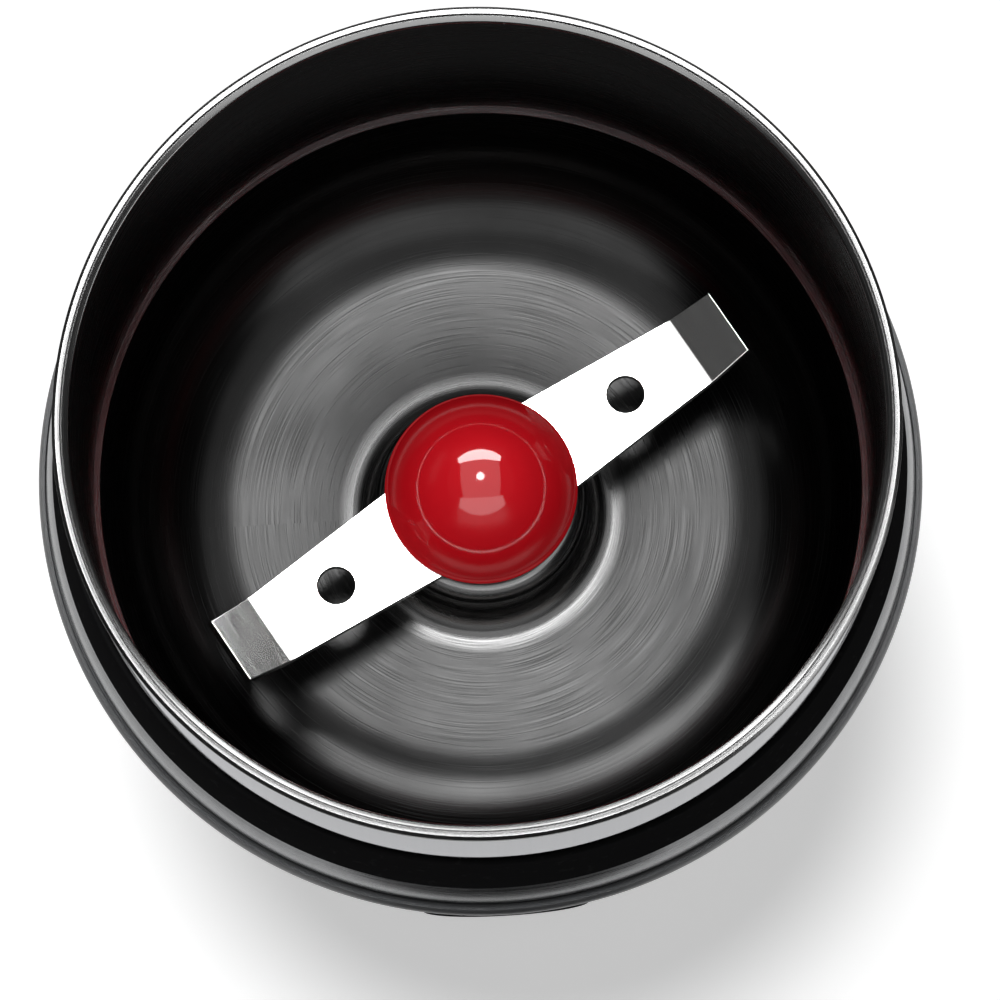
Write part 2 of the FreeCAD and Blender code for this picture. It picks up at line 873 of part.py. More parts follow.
def housing_shell():
    body = turned("housing_shell", housing_outline())
    # posts for the cover's screws, each with a rib to the wall
    sketch = add_sketch(body, "XY_Plane", cover_top)
    angle = eighth
    x = boss_circle * turned_by(angle, "cos")
    y = boss_circle * turned_by(angle, "sin")
    add_circle(sketch, x, y, s.boss_post)
    post = pad(body, sketch, s.boss_top - cover_top)
    far = s.foot_radius - s.housing_wall / 2
    near = boss_circle
    half = s.rib_wall / 2
    across = turned_by(angle, "cos")
    corners = []
    for radius, sign in ((near, -1), (far, -1), (far, 1), (near, 1)):
        corners.append(((radius - half * sign) * across, (radius + half * sign) * across))
    sketch = add_sketch(body, "XY_Plane", cover_top)
    add_loop(sketch, corners)
    rib = pad(body, sketch, s.boss_top - cover_top)
    polar(body, [post, rib], s.post_count)
    doc.recompute()
    sketch = add_sketch(body, "XY_Plane", cover_top)
    add_circle(sketch, x, y, s.screw_radius + s.fit)
    hole = pocket(body, sketch, s.boss_top - cover_top - s.cover_wall, reverse=True)
    polar(body, [hole], s.post_count)
    doc.recompute()
    # boss of the cord inlet at the back
    sketch = add_sketch(body, "XZ_Plane", -inlet_face)
    add_circle(sketch, 0, s.inlet_height, s.inlet_boss)
    pad(body, sketch, inlet_face - s.foot_radius + s.housing_wall + s.clamp_wall)
    sketch = add_sketch(body, "XZ_Plane", -inlet_face)
    add_circle(sketch, 0, s.inlet_height, s.inlet_neck + s.fit)
    pocket(body, sketch, s.inlet_boss * 2, reverse=True)
    # opening for the button's bezel at the front
    sketch = add_sketch(body, "XZ_Plane", lip_radius)
    add_circle(sketch, 0, button_height, s.button_radius + s.play + s.bezel_wall + s.fit)
    pocket(body, sketch, lip_radius - bezel_face + s.bezel_depth * 2)


def well_liner():
    rebate = lip_radius - s.lip_wall - s.fit * 2
    top_in = cup_out + s.well_gap
    lip = housing_lip
    knee = step_top - s.cup_step - s.play
    spill_top = well_floor + s.spill_height
    wall = s.well_wall
    body = turned("well_liner", [
        (s.spill_radius, well_under),
        (well_floor_radius + wall, well_under),
        (top_in + wall, knee),
        (top_in + wall, lip),
        (rebate, lip),
        (rebate, housing_top),
        (top_in, housing_top),
        (top_in, knee),
        (well_floor_radius, well_floor),
        (s.spill_radius + s.spill_wall, well_floor),
        (s.spill_radius + s.spill_wall, spill_top),
        (s.spill_radius, spill_top),
    ])
    # notches that take the bowl's lugs
    sketch = add_sketch(body, "XY_Plane", housing_top)
    near = top_in - s.well_gap
    far = s.rim_radius + s.tongue_wall + s.well_gap
    add_box(sketch, (near + far) / 2, 0, far - near, s.lug_width + s.well_gap * 2)
    notch = pocket(body, sketch, s.lug_length + s.play)
    polar(body, [notch], s.lug_count)
    doc.recompute()
    # hollow posts that hold the motor's rubber mounts
    angle = eighth
    x = s.mount_circle * turned_by(angle, "cos")
    y = s.mount_circle * turned_by(angle, "sin")
    sketch = add_sketch(body, "XY_Plane", well_under)
    add_circle(sketch, x, y, s.mount_post)
    add_circle(sketch, x, y, s.screw_radius + s.fit)
    post = pad(body, sketch, well_under - mount_low - s.play, reverse=True)
    polar(body, [post], s.mount_count)


def motor_mounts():
    body = new_body("motor_mounts")
    angle = eighth
    x = s.mount_circle * turned_by(angle, "cos")
    y = s.mount_circle * turned_by(angle, "sin")
    sketch = add_sketch(body, "XY_Plane", mount_low)
    add_circle(sketch, x, y, s.mount_radius)
    add_circle(sketch, x, y, s.mount_post + s.fit)
    ring = pad(body, sketch, s.mount_height)
    polar(body, [ring], s.mount_count)


def mount_screws():
    screw_group("mount_screws", s.mount_circle, s.mount_count, s.screw_radius, s.screw_head,
                upper_plate - s.head_height, s.head_height, well_under - s.play, eighth)


def base_cover():
    inner = s.foot_radius - s.housing_wall - s.fit * 2
    body = turned("base_cover", [(0, s.foot_gap), (inner, s.foot_gap), (inner, cover_top), (0, cover_top)])
    sketch = add_sketch(body, "XY_Plane", cover_top)
    add_circle(sketch, foot_circle, 0, s.stem_radius + s.fit)
    hole = pocket(body, sketch, s.cover_wall)
    polar(body, [hole], s.post_count)
    doc.recompute()
    angle = eighth
    sketch = add_sketch(body, "XY_Plane", cover_top)
    add_circle(sketch, boss_circle * turned_by(angle, "cos"), boss_circle * turned_by(angle, "sin"),
               s.screw_radius + s.fit)
    hole = pocket(body, sketch, s.cover_wall)
    polar(body, [hole], s.post_count)
    doc.recompute()
    sketch = add_sketch(body, "XY_Plane", cover_top)
    half = s.vent_width / 2
    # a bow just over the half width keeps the slot's rounded ends under a half turn
    bow = half + s.fit
    outline = [(s.vent_near, -half), (s.vent_far, -half, bow), (s.vent_far, half), (s.vent_near, half, bow)]
    add_loop(sketch, outline)
    slot = pocket(body, sketch, s.cover_wall)
    polar(body, [slot], s.vent_count)


def rubber_feet():
    body = new_body("rubber_feet")
    sketch = add_sketch(body, "XY_Plane")
    add_circle(sketch, foot_circle, 0, s.pad_radius)
    pads = pad(body, sketch, s.foot_gap)
    pads.setExpression("TaperAngle", s.pad_taper.text)
    sketch = add_sketch(body, "XY_Plane", s.foot_gap)
    add_circle(sketch, foot_circle, 0, s.stem_radius)
    stem = pad(body, sketch, s.cover_wall + s.clamp_wall)
    polar(body, [pads, stem], s.post_count)


def base_screws():
    screw_group("base_screws", boss_circle, s.post_count, s.screw_radius, s.screw_head,
                s.foot_gap - s.head_height, s.head_height, s.boss_top - s.cover_wall - s.clamp_wall, eighth)


def tube_on_y(body, inner, outer, near, far, height, reverse):
    """A ring about a line along Y, from near to far in the sketch's own direction."""
    sketch = add_sketch(body, "XZ_Plane", near)
    add_circle(sketch, 0, height, outer)
    if inner is not None:
        add_circle(sketch, 0, height, inner)
    return pad(body, sketch, far - near, reverse=reverse)


def cord_gland():
    body = new_body("cord_gland")
    inside = s.foot_radius - s.housing_wall - s.clamp_wall
    tube_on_y(body, s.inlet_bore, s.inlet_neck, -inlet_face - s.fit, -inside, s.inlet_height, False)
    tube_on_y(body, s.inlet_bore, s.inlet_neck + s.inlet_flange, -inlet_face - s.inlet_flange,
              -inlet_face, s.inlet_height, False)


def button_bezel():
    body = new_body("button_bezel")
    bore = s.button_radius + s.play
    outer = bore + s.bezel_wall
    inside = bezel_face - s.bezel_depth
    tube_on_y(body, bore, outer, inside, bezel_face, button_height, False)
    tube_on_y(body, bore - s.bezel_flange, outer + s.bezel_flange, inside - s.bezel_flange, inside,
              button_height, False)


def push_button():
    """A crowned button on a stem, turned about its own line of travel."""
    body = new_body("push_button")
    lip_face = bezel_face - s.bezel_depth
    lip_back = lip_face - s.bezel_flange
    face = bezel_face + s.button_proud
    crown = s.button_dome - root(s.button_dome * s.button_dome - s.button_radius * s.button_radius)
    shoulder = lip_face + s.button_travel + s.play
    neck = s.button_radius - s.bezel_flange
    catch = lip_back - s.play
    catch_back = catch - s.button_flange
    tip = s.stator_depth / 2 + s.switch_deep + s.play
    sketch = add_sketch(body, "YZ_Plane", lift=button_height)
    add_loop(sketch, [
        (-face, 0),
        (-tip, 0),
        (-tip, s.button_stem),
        (-catch_back, s.button_stem),
        (-catch_back, s.button_radius - s.play),
        (-catch, s.button_radius - s.play),
        (-catch, neck),
        (-shoulder, neck),
        (-shoulder, s.button_radius),
        (-face + crown, s.button_radius, s.button_dome),
    ])
    feature = body.newObject("PartDesign::Revolution", f"{body.Name}_turn")
    feature.Profile = sketch
    feature.ReferenceAxis = (sketch, ["H_Axis"])
    feature.Angle = 360


def power_switch():
    body = new_body("power_switch")
    front = s.stator_depth / 2 + s.switch_deep
    sketch = add_sketch(body, "XZ_Plane", s.stator_depth / 2)
    add_box(sketch, 0, button_height - s.switch_drop, s.switch_width, s.switch_tall)
    pad(body, sketch, s.switch_deep)
    sketch = add_sketch(body, "XZ_Plane", front)
    add_circle(sketch, 0, button_height, s.button_stem + s.play)
    pocket(body, sketch, s.button_travel + s.play)


def plate_holes(body, level, length):
    """Holes for the two long motor screws."""
    sketch = add_sketch(body, "XY_Plane", level)
    add_circle(sketch, s.post_reach, 0, s.screw_radius + s.fit)
    add_circle(sketch, -s.post_reach, 0, s.screw_radius + s.fit)
    pocket(body, sketch, length, reverse=True)


def bracket_posts(body, level, length):
    """Posts that clamp the stator between the two brackets."""
    sketch = add_sketch(body, "XY_Plane", level)
    add_circle(sketch, s.post_reach, 0, s.post_radius)
    add_circle(sketch, -s.post_reach, 0, s.post_radius)
    pad(body, sketch, length)


def bearing_pocket(low, high, open_top):
    """Corners of a bearing cup with a lip under or over the bearing."""
    seat = s.bearing_radius + s.fit
    outer = seat + s.bracket_hub_wall
    lip = s.bearing_radius - s.bracket_hub_wall
    if open_top:
        return [(lip, low - s.bracket_lip), (outer, low - s.bracket_lip), (outer, high), (seat, high),
                (seat, low), (lip, low)]
    return [(lip, high), (lip, high + s.bracket_lip), (outer, high + s.bracket_lip), (outer, low),
            (seat, low), (seat, high)]


def upper_bracket():
    body = new_body("upper_bracket")
    high = upper_plate + s.bracket_wall
    revolve(body, bearing_pocket(high - s.bearing_width, high, True))
    sketch = add_sketch(body, "XY_Plane", upper_plate)
    add_circle(sketch, 0, 0, s.upper_disc)
    add_circle(sketch, 0, 0, s.bearing_radius + s.bracket_hub_wall)
    pad(body, sketch, s.bracket_wall)
    bracket_posts(body, stack_high, upper_plate - stack_high)
    plate_holes(body, stack_high, high - stack_high)
    sketch = add_sketch(body, "XY_Plane", upper_plate)
    across = turned_by(eighth, "cos")
    add_circle(sketch, s.mount_circle * across, s.mount_circle * across, s.screw_radius + s.fit)
    hole = pocket(body, sketch, s.bracket_wall, reverse=True)
    polar(body, [hole], s.mount_count)
    doc.recompute()
    sketch = add_sketch(body, "XY_Plane", upper_plate)
    near = s.bearing_radius + s.bracket_hub_wall * 2
    far = s.upper_disc - s.bracket_hub_wall * 2
    add_box(sketch, 0, (near + far) / 2, s.arm_width, far - near)
    add_box(sketch, 0, -(near + far) / 2, s.arm_width, far - near)
    pocket(body, sketch, s.bracket_wall, reverse=True)


def lower_bracket():
    body = new_body("lower_bracket")
    revolve(body, bearing_pocket(bearing_low, bearing_low + s.bearing_width, True))
    outer = s.bearing_radius + s.fit + s.bracket_hub_wall
    arm = s.arm_width / 2
    sketch = add_sketch(body, "XY_Plane", s.lower_plate)
    reach = s.arm_reach
    add_loop(sketch, [
        (reach, -arm), (reach, arm), (arm * 2, arm), (arm, arm * 2), (arm, reach), (-arm, reach),
        (-arm, arm * 2), (-arm * 2, arm), (-reach, arm), (-reach, -arm), (-arm * 2, -arm),
        (-arm, -arm * 2), (-arm, -reach), (arm, -reach), (arm, -arm * 2), (arm * 2, -arm),
    ])
    add_circle(sketch, 0, 0, outer - s.fit)
    pad(body, sketch, s.bracket_wall)
    plate_top = s.lower_plate + s.bracket_wall
    bracket_posts(body, plate_top, stack_low - plate_top)
    plate_holes(body, s.lower_plate, stack_low - s.lower_plate)


def motor_bearings():
    """Shielded bearings, each with a shallow ring between its races."""
    bore = s.shaft_radius + s.run
    near = s.shaft_radius + s.clamp_wall
    far = s.bearing_radius - s.clamp_wall
    for label, low in (("lower_bearing", bearing_low), ("upper_bearing", upper_bearing_low)):
        high = low + s.bearing_width
        turned(label, [
            (bore, low), (near, low), (near, low + s.play), (far, low + s.play), (far, low),
            (s.bearing_radius, low), (s.bearing_radius, high),
            (far, high), (far, high - s.play), (near, high - s.play), (near, high), (bore, high),
        ])


def stator_core():
    body = new_body("stator_core")
    sketch = add_sketch(body, "XY_Plane", stack_low)
    add_loop(sketch, rounded_box(s.stator_width, s.stator_depth, s.stator_round))
    add_circle(sketch, 0, 0, s.armature_radius + s.air_gap)
    inner = s.coil_reach - s.coil_bar - s.coil_gap
    outer = s.coil_reach + s.coil_gap
    near = s.coil_from - s.coil_gap
    far = s.coil_from + s.coil_bar + s.coil_gap
    for side in (1, -1):
        for end in (1, -1):
            add_box(sketch, (inner + outer) / 2 * side, (near + far) / 2 * end, outer - inner, far - near)
    add_circle(sketch, s.post_reach, 0, s.screw_radius + s.fit)
    add_circle(sketch, -s.post_reach, 0, s.screw_radius + s.fit)
    pad(body, sketch, stack_height)


def field_coils():
    body = new_body("field_coils")
    tall = coil_half + s.coil_rise
    sketch = add_sketch(body, "XZ_Plane", s.coil_from, lift=stack_centre)
    add_loop(sketch, rounded_box(s.coil_reach * 2, tall * 2, s.coil_round))
    add_loop(sketch, rounded_box((s.coil_reach - s.coil_bar) * 2, coil_half * 2, s.coil_gap))
    coil = pad(body, sketch, s.coil_bar)
    polar(body, [coil], as_size(2))


def motor_screws():
    body = new_body("motor_screws")
    high = upper_plate + s.bracket_wall
    sketch = add_sketch(body, "XY_Plane", high)
    add_circle(sketch, s.post_reach, 0, s.screw_head)
    head = pad(body, sketch, s.head_height)
    sketch = add_sketch(body, "XY_Plane", high)
    add_circle(sketch, s.post_reach, 0, s.screw_radius)
    shank = pad(body, sketch, high - s.lower_plate - s.play, reverse=True)
    polar(body, [head, shank], as_size(2))


def brush_gear():
    """Holders on the lower bracket, each with a carbon brush in its channel."""
    low = s.lower_plate + s.bracket_wall
    brush_low = low + s.brush_base
    body = new_body("brush_holders")
    sketch = add_sketch(body, "XY_Plane", low)
    far = s.arm_reach - s.coil_gap
    add_box(sketch, 0, (s.holder_near + far) / 2, s.holder_width, far - s.holder_near)
    block = pad(body, sketch, s.brush_base + s.brush_height + s.brush_roof)
    doc.recompute()
    sketch = add_sketch(body, "XZ_Plane", -s.holder_near, lift=brush_low + s.brush_height / 2)
    add_box(sketch, 0, 0, s.brush_width + s.fit * 2, s.brush_height + s.fit * 2)
    channel = pocket(body, sketch, far - s.holder_near - s.brush_cap)
    polar(body, [block, channel], as_size(2))
    doc.recompute()
    body = new_body("carbon_brushes")
    half = s.brush_width / 2
    face = s.commutator_radius + s.fit
    near = root(face * face - half * half)
    sketch = add_sketch(body, "XY_Plane", brush_low)
    add_loop(sketch, [(-half, near, -face), (half, near), (half, near + s.brush_length),
                      (-half, near + s.brush_length)])
    brush = pad(body, sketch, s.brush_height)
    polar(body, [brush], as_size(2))
    # one coil spring behind each brush, up to the end wall of its channel
    body = new_body("brush_springs")
    start = near + s.brush_length + s.spring_wire + s.fit
    stop = far - s.brush_cap - s.spring_wire - s.fit
    sketch = add_sketch(body, "YZ_Plane", lift=brush_low + s.brush_height / 2)
    add_circle(sketch, start, s.spring_radius, s.spring_wire)
    coil = body.newObject("PartDesign::AdditiveHelix", "brush_springs_coil")
    coil.Profile = sketch
    coil.ReferenceAxis = (sketch, ["H_Axis"])
    coil.Mode = "height-turns-angle"
    coil.setExpression("Height", (stop - start).text)
    coil.setExpression("Turns", s.spring_turns.text)
    polar(body, [coil], as_size(2))


def rotor_shaft():
    turned("rotor_shaft", [(0, bearing_low + s.fit), (s.shaft_radius, bearing_low + s.fit),
                           (s.shaft_radius, drive_high), (0, drive_high)])


def slot_corners(gap, opening, reach):
    """One armature slot, drawn smaller all round by gap."""
    tip = s.armature_radius - s.slot_opening - gap
    root_radius = s.armature_radius - s.slot_depth + gap
    wide = s.slot_width / 2 - gap
    narrow = s.slot_width / 4 - gap / 2
    corners = [(root_radius, -narrow), (tip, -wide)]
    if opening is not None:
        corners += [(tip, -opening / 2), (reach, -opening / 2), (reach, opening / 2), (tip, opening / 2)]
    return corners + [(tip, wide), (root_radius, narrow)]


def armature_core():
    body = new_body("armature_core")
    sketch = add_sketch(body, "XY_Plane", stack_low)
    add_circle(sketch, 0, 0, s.armature_radius)
    add_circle(sketch, 0, 0, s.shaft_radius + s.fit)
    pad(body, sketch, stack_height)
    sketch = add_sketch(body, "XY_Plane", stack_low)
    add_loop(sketch, slot_corners(as_size(0), s.slot_opening, s.armature_radius + s.play))
    slot = pocket(body, sketch, stack_height, reverse=True)
    polar(body, [slot], s.slot_count)


def armature_windings():
    body = new_body("armature_windings")
    inner = s.shaft_radius + s.clamp_wall
    outer = s.winding_radius
    bow = s.winding_rise + s.coil_gap
    low = stack_low - s.winding_rise
    high = stack_high + s.winding_rise
    revolve(body, [(inner, low), (outer - s.winding_rise, low, bow), (outer, stack_low), (inner, stack_low)])
    revolve(body, [(inner, stack_high), (outer, stack_high, bow), (outer - s.winding_rise, high),
                   (inner, high)])
    sketch = add_sketch(body, "XY_Plane", stack_low)
    add_loop(sketch, slot_corners(s.fit * 2, None, None))
    bar = pad(body, sketch, stack_height)
    polar(body, [bar], s.slot_count)


def commutator():
    low = commutator_low
    body = turned("commutator", tube(s.shaft_radius + s.fit, s.commutator_radius, low, commutator_high))
    sketch = add_sketch(body, "XY_Plane", low)
    add_box(sketch, s.commutator_radius, 0, s.bar_deep * 2, s.bar_gap)
    gap = pocket(body, sketch, s.commutator_length - s.clamp_wall, reverse=True)
    polar(body, [gap], s.bar_count)


def cooling_fan():
    body = new_body("cooling_fan")
    low = fan_low
    top = fan_top
    revolve(body, [(s.shaft_radius + s.fit, low), (s.fan_radius, low), (s.fan_radius, top),
                   (s.fan_hub, top), (s.fan_hub, top + s.fan_collar),
                   (s.shaft_radius + s.fit, top + s.fan_collar)])
    near = s.bearing_radius + s.bracket_hub_wall + s.fan_disc
    far = s.fan_radius - s.play
    half = s.fan_disc / 2
    lean = s.fan_blade / 2
    sketch = add_sketch(body, "XY_Plane", top)
    add_loop(sketch, [(near, -half), (far, lean - half), (far, lean + half), (near, half)])
    blade = pad(body, sketch, s.fan_blade)
    polar(body, [blade], s.fan_count)


def drive_dog():
    body = turned("drive_dog", tube(s.shaft_radius + s.fit, s.dog_radius, drive_low, drive_high))
    claw(body, drive_high, drive_tip - drive_high, 0, False)
    turn_to_heading(body)


def write_parts():
    """Checks every object, then writes one file for each sub-part."""
    doc.recompute()
    for item in doc.Objects:
        if "Invalid" in item.State or "Error" in item.State:
            raise ValueError(f"{item.Label} failed: {item.State}")
    os.makedirs("parts", exist_ok=True)
    for item in parts:
        if item.Shape.isNull() or not item.Shape.isValid():
            raise ValueError(f"{item.Label} has no valid shape")
        item.Shape.exportStep(f"parts/{item.Label}.step")
        print(item.Label, len(item.Shape.Solids), round(item.Shape.Volume, 1))


grinding_cup()
rim_sleeve()
collar_band()
grip_ring()
cup_base()
bearing_hub()
hub_washer()
bowl_bushes()
shaft_seal()
hub_screws()
blade_shaft()
grinding_blade()
blade_clamp()
blade_cap()
driven_dog()
thrust_washer()
housing_shell()
well_liner()
motor_mounts()
mount_screws()
base_cover()
rubber_feet()
base_screws()
cord_gland()
button_bezel()
push_button()
power_switch()
upper_bracket()
lower_bracket()
motor_bearings()
stator_core()
field_coils()
motor_screws()
brush_gear()
rotor_shaft()
armature_core()
armature_windings()
commutator()
cooling_fan()
drive_dog()
write_parts()
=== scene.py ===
import math

import bmesh
import bpy
from mathutils import Matrix, Vector

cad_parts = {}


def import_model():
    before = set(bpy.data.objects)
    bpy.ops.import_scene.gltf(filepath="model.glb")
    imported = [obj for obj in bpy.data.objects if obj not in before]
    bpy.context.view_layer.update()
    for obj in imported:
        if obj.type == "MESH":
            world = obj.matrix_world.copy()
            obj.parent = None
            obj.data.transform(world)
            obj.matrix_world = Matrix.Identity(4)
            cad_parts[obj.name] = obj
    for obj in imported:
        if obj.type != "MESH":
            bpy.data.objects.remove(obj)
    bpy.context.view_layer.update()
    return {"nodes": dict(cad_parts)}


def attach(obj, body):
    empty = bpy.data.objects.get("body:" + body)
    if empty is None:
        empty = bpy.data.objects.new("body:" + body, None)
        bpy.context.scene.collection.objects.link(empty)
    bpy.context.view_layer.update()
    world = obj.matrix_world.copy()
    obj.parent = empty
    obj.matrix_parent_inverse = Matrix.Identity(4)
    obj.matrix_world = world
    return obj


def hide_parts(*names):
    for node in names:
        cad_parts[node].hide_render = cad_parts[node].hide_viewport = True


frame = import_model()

MM = 0.001

# Levels and radii of the model in millimetres, as in its source.
RIM_TOP = 131.0
RIM_R = 45.0
RIM_DEEP = 1.0
CUP_IN = 43.3
CUP_OUT = 44.1
CUP_FLOOR = 77.0
BOSS_R = 12.0
STEP_TOP = 95.5
STEP = 0.7
LEDGE_TOP = 114.5
BAND_LOW = 106.0
BAND_R = 47.0
TONGUE_R = 45.9
SEAM_TOP = 100.5
BLADE_LOW = 89.4
BLADE_HIGH = 90.6
BLADE_REACH = 33.6
CAP_RISE = 8.6
HEADING = math.radians(30.5)


# Camera: above the front, looking down on the bowl.
def add_camera():
    tilt = math.radians(11.65)
    roll = math.radians(-3.41)
    distance = 0.609
    picture_px = 1000.0
    focal_px = 5764.0
    sensor = 36.0
    # Where the middle of the rim lies, to the right of and above the middle of the picture.
    rim_px = (-23.1, 82.8)
    rim = Vector((0, 0, RIM_TOP * MM))
    away = distance * Vector((0, -math.sin(tilt), math.cos(tilt)))
    to_rim = -away.normalized()
    right = to_rim.cross(Vector((0, 1, 0))).normalized()
    up = right.cross(to_rim)
    right, up = (
        math.cos(roll) * right + math.sin(roll) * up,
        math.cos(roll) * up - math.sin(roll) * right,
    )
    aim = Vector((*rim_px, focal_px)).normalized()
    ahead = (to_rim * aim.z - right * aim.x - up * aim.y).normalized()
    side = (right - ahead * right.dot(ahead)).normalized()
    above = side.cross(ahead)
    data = bpy.data.cameras.new("camera")
    data.sensor_width = sensor
    data.lens = focal_px / picture_px * sensor
    data.clip_start = 0.01
    data.clip_end = 50.0
    camera = bpy.data.objects.new("camera", data)
    bpy.context.collection.objects.link(camera)
    turn = Matrix((side, above, -ahead)).transposed().to_4x4()
    camera.matrix_world = Matrix.Translation(rim + away) @ turn
    bpy.context.scene.camera = camera
    bpy.context.scene.view_settings.view_transform = "Standard"


add_camera()


# Materials.
class Nodes:
    """Short ways to build one material's node tree."""

    def __init__(self, name):
        self.material = bpy.data.materials.new(name)
        self.material.use_nodes = True
        self.tree = self.material.node_tree
        self.shader = self.tree.nodes["Principled BSDF"]

    def add(self, kind, **values):
        node = self.tree.nodes.new(kind)
        for key, value in values.items():
            setattr(node, key, value)
        return node

    def link(self, source, target):
        self.tree.links.new(source, target)

    def put(self, socket, value):
        if isinstance(value, bpy.types.NodeSocket):
            self.link(value, socket)
        else:
            socket.default_value = value

    def place(self):
        return self.add("ShaderNodeTexCoord").outputs["Object"]

    def math(self, operation, a, b=0.0):
        node = self.add("ShaderNodeMath", operation=operation)
        for socket, value in zip(node.inputs, (a, b)):
            self.put(socket, value)
        return node.outputs[0]

    def split(self, vector):
        node = self.add("ShaderNodeSeparateXYZ")
        self.link(vector, node.inputs[0])
        return node.outputs

    def join(self, x, y, z):
        node = self.add("ShaderNodeCombineXYZ")
        for socket, value in zip(node.inputs, (x, y, z)):
            self.put(socket, value)
        return node.outputs[0]

    def stretch(self, vector, x, y, z):
        node = self.add("ShaderNodeVectorMath", operation="MULTIPLY")
        self.link(vector, node.inputs[0])
        node.inputs[1].default_value = (x, y, z)
        return node.outputs[0]

    def noise(self, vector, scale, detail=3.0, rough=0.5):
        node = self.add("ShaderNodeTexNoise")
        self.link(vector, node.inputs["Vector"])
        node.inputs["Scale"].default_value = scale
        node.inputs["Detail"].default_value = detail
        node.inputs["Roughness"].default_value = rough
        return node.outputs["Fac"]

    def span(self, value, low, high, to_low, to_high):
        node = self.add("ShaderNodeMapRange")
        self.link(value, node.inputs["Value"])
        for name, number in (("From Min", low), ("From Max", high), ("To Min", to_low), ("To Max", to_high)):
            node.inputs[name].default_value = number
        return node.outputs[0]

    def ramp(self, value, stops):
        node = self.add("ShaderNodeValToRGB")
        self.link(value, node.inputs[0])
        items = node.color_ramp.elements
        while len(items) < len(stops):
            items.new(0.5)
        for item, (where, colour) in zip(items, stops):
            item.position = where
            item.color = (*colour, 1.0)
        return node.outputs[0]

    def mix(self, share, first, second):
        node = self.add("ShaderNodeMix", data_type="RGBA")
        self.put(node.inputs[0], share)
        for socket, value in ((node.inputs[6], first), (node.inputs[7], second)):
            self.put(socket, (*value, 1.0) if isinstance(value, tuple) and len(value) == 3 else value)
        return node.outputs[2]

    def bump(self, height, distance, strength=0.5):
        node = self.add("ShaderNodeBump")
        self.link(height, node.inputs["Height"])
        node.inputs["Distance"].default_value = distance
        node.inputs["Strength"].default_value = strength
        self.link(node.outputs[0], self.shader.inputs["Normal"])

    def set(self, **values):
        for key, value in values.items():
            name = key.replace("_", " ").title().replace("Ior", "IOR")
            if isinstance(value, tuple) and len(value) == 3:
                value = (*value, 1.0)
            self.put(self.shader.inputs[name], value)


def grey(value):
    return (value, value, value)


def round_z(n):
    """The distance from the Z axis, the turn about it and the height."""
    x, y, z = n.split(n.place())
    radius = n.math("SQRT", n.math("ADD", n.math("MULTIPLY", x, x), n.math("MULTIPLY", y, y)))
    angle = n.math("ARCTAN2", y, x)
    return radius, angle, z


def turned_lines(n, radius, angle, z, across, along):
    """Noise in fine lines round the Z axis, as a lathe leaves them."""
    scaled = [
        n.math("MULTIPLY", value, scale) for value, scale in ((radius, across), (angle, along), (z, across))
    ]
    return n.noise(n.join(*scaled), 1.0, 2.0)


def cup_steel():
    """The bowl's steel: dark inside and darker towards the floor, with a painted highlight as a pale line at
    the step, a painted highlight on the boss under the blade, and a satin rim.
    """
    n = Nodes("cup_steel")
    radius, angle, z = round_z(n)
    low = CUP_FLOOR - 1.0
    high = RIM_TOP + 0.2
    height = n.span(z, low * MM, high * MM, 0.0, 1.0)
    stops = [
        (CUP_FLOOR - 0.2, grey(0.015)),
        (CUP_FLOOR + 2.0, grey(0.015)),
        (CUP_FLOOR + 15.0, (0.050, 0.045, 0.043)),
        (STEP_TOP - 0.9, (0.050, 0.046, 0.044)),
        # Painted highlight: the pale band just under the step's top stands for light caught on its bend.
        (STEP_TOP - 0.65, (0.36, 0.40, 0.41)),
        (STEP_TOP - 0.05, (0.36, 0.40, 0.41)),
        (STEP_TOP + 0.1, grey(0.05)),
        (RIM_TOP - 1.4, grey(0.05)),
        (RIM_TOP - 0.7, grey(0.15)),
        (high, grey(0.21)),
    ]
    tone = n.ramp(height, [((level - low) / (high - low), colour) for level, colour in stops])
    # Painted highlight: the boss under the blade is lifted to a lighter grey.
    near_middle = n.span(radius, (BOSS_R + 0.5) * MM, (BOSS_R + 4.5) * MM, 1.0, 0.0)
    near_floor = n.span(z, (BLADE_LOW - 1.4) * MM, (BLADE_LOW + 0.6) * MM, 1.0, 0.0)
    tone = n.mix(n.math("MULTIPLY", near_middle, near_floor), tone, grey(0.22))
    lines = turned_lines(n, radius, angle, z, 9000.0, 2.0)
    haze = n.noise(n.place(), 60.0, 4.0)
    tone = n.mix(n.span(haze, 0.3, 0.7, 0.0, 0.25), tone, grey(0.05))
    n.set(base_color=tone, metallic=1.0, roughness=n.span(lines, 0.3, 0.7, 0.16, 0.30))
    n.bump(lines, 0.00002, 0.25)
    return n.material


def sleeve_chrome():
    n = Nodes("sleeve_chrome")
    radius, angle, z = round_z(n)
    marks = n.noise(n.join(n.math("MULTIPLY", angle, 60.0), radius, n.math("MULTIPLY", z, 40.0)), 1.0, 3.0)
    n.set(base_color=n.mix(n.span(marks, 0.35, 0.75, 0.0, 0.3), (0.46, 0.465, 0.47), (0.40, 0.405, 0.41)),
          metallic=1.0, roughness=n.span(marks, 0.3, 0.8, 0.04, 0.09), specular_tint=(0.66, 0.66, 0.67))
    # The wall mirrors as if it flared a little more than it does.
    flare = -0.065
    n.bump(n.math("MULTIPLY", z, flare), 1.0, 1.0)
    return n.material


def band_black():
    n = Nodes("band_black")
    dust = n.noise(n.place(), 900.0, 2.0)
    haze = n.noise(n.place(), 40.0, 3.0)
    n.set(base_color=n.mix(n.span(dust, 0.62, 0.75, 0.0, 0.25), (0.013, 0.013, 0.0135), (0.04, 0.04, 0.041)),
          roughness=n.span(haze, 0.3, 0.7, 0.30, 0.42), specular_ior_level=0.0)
    return n.material


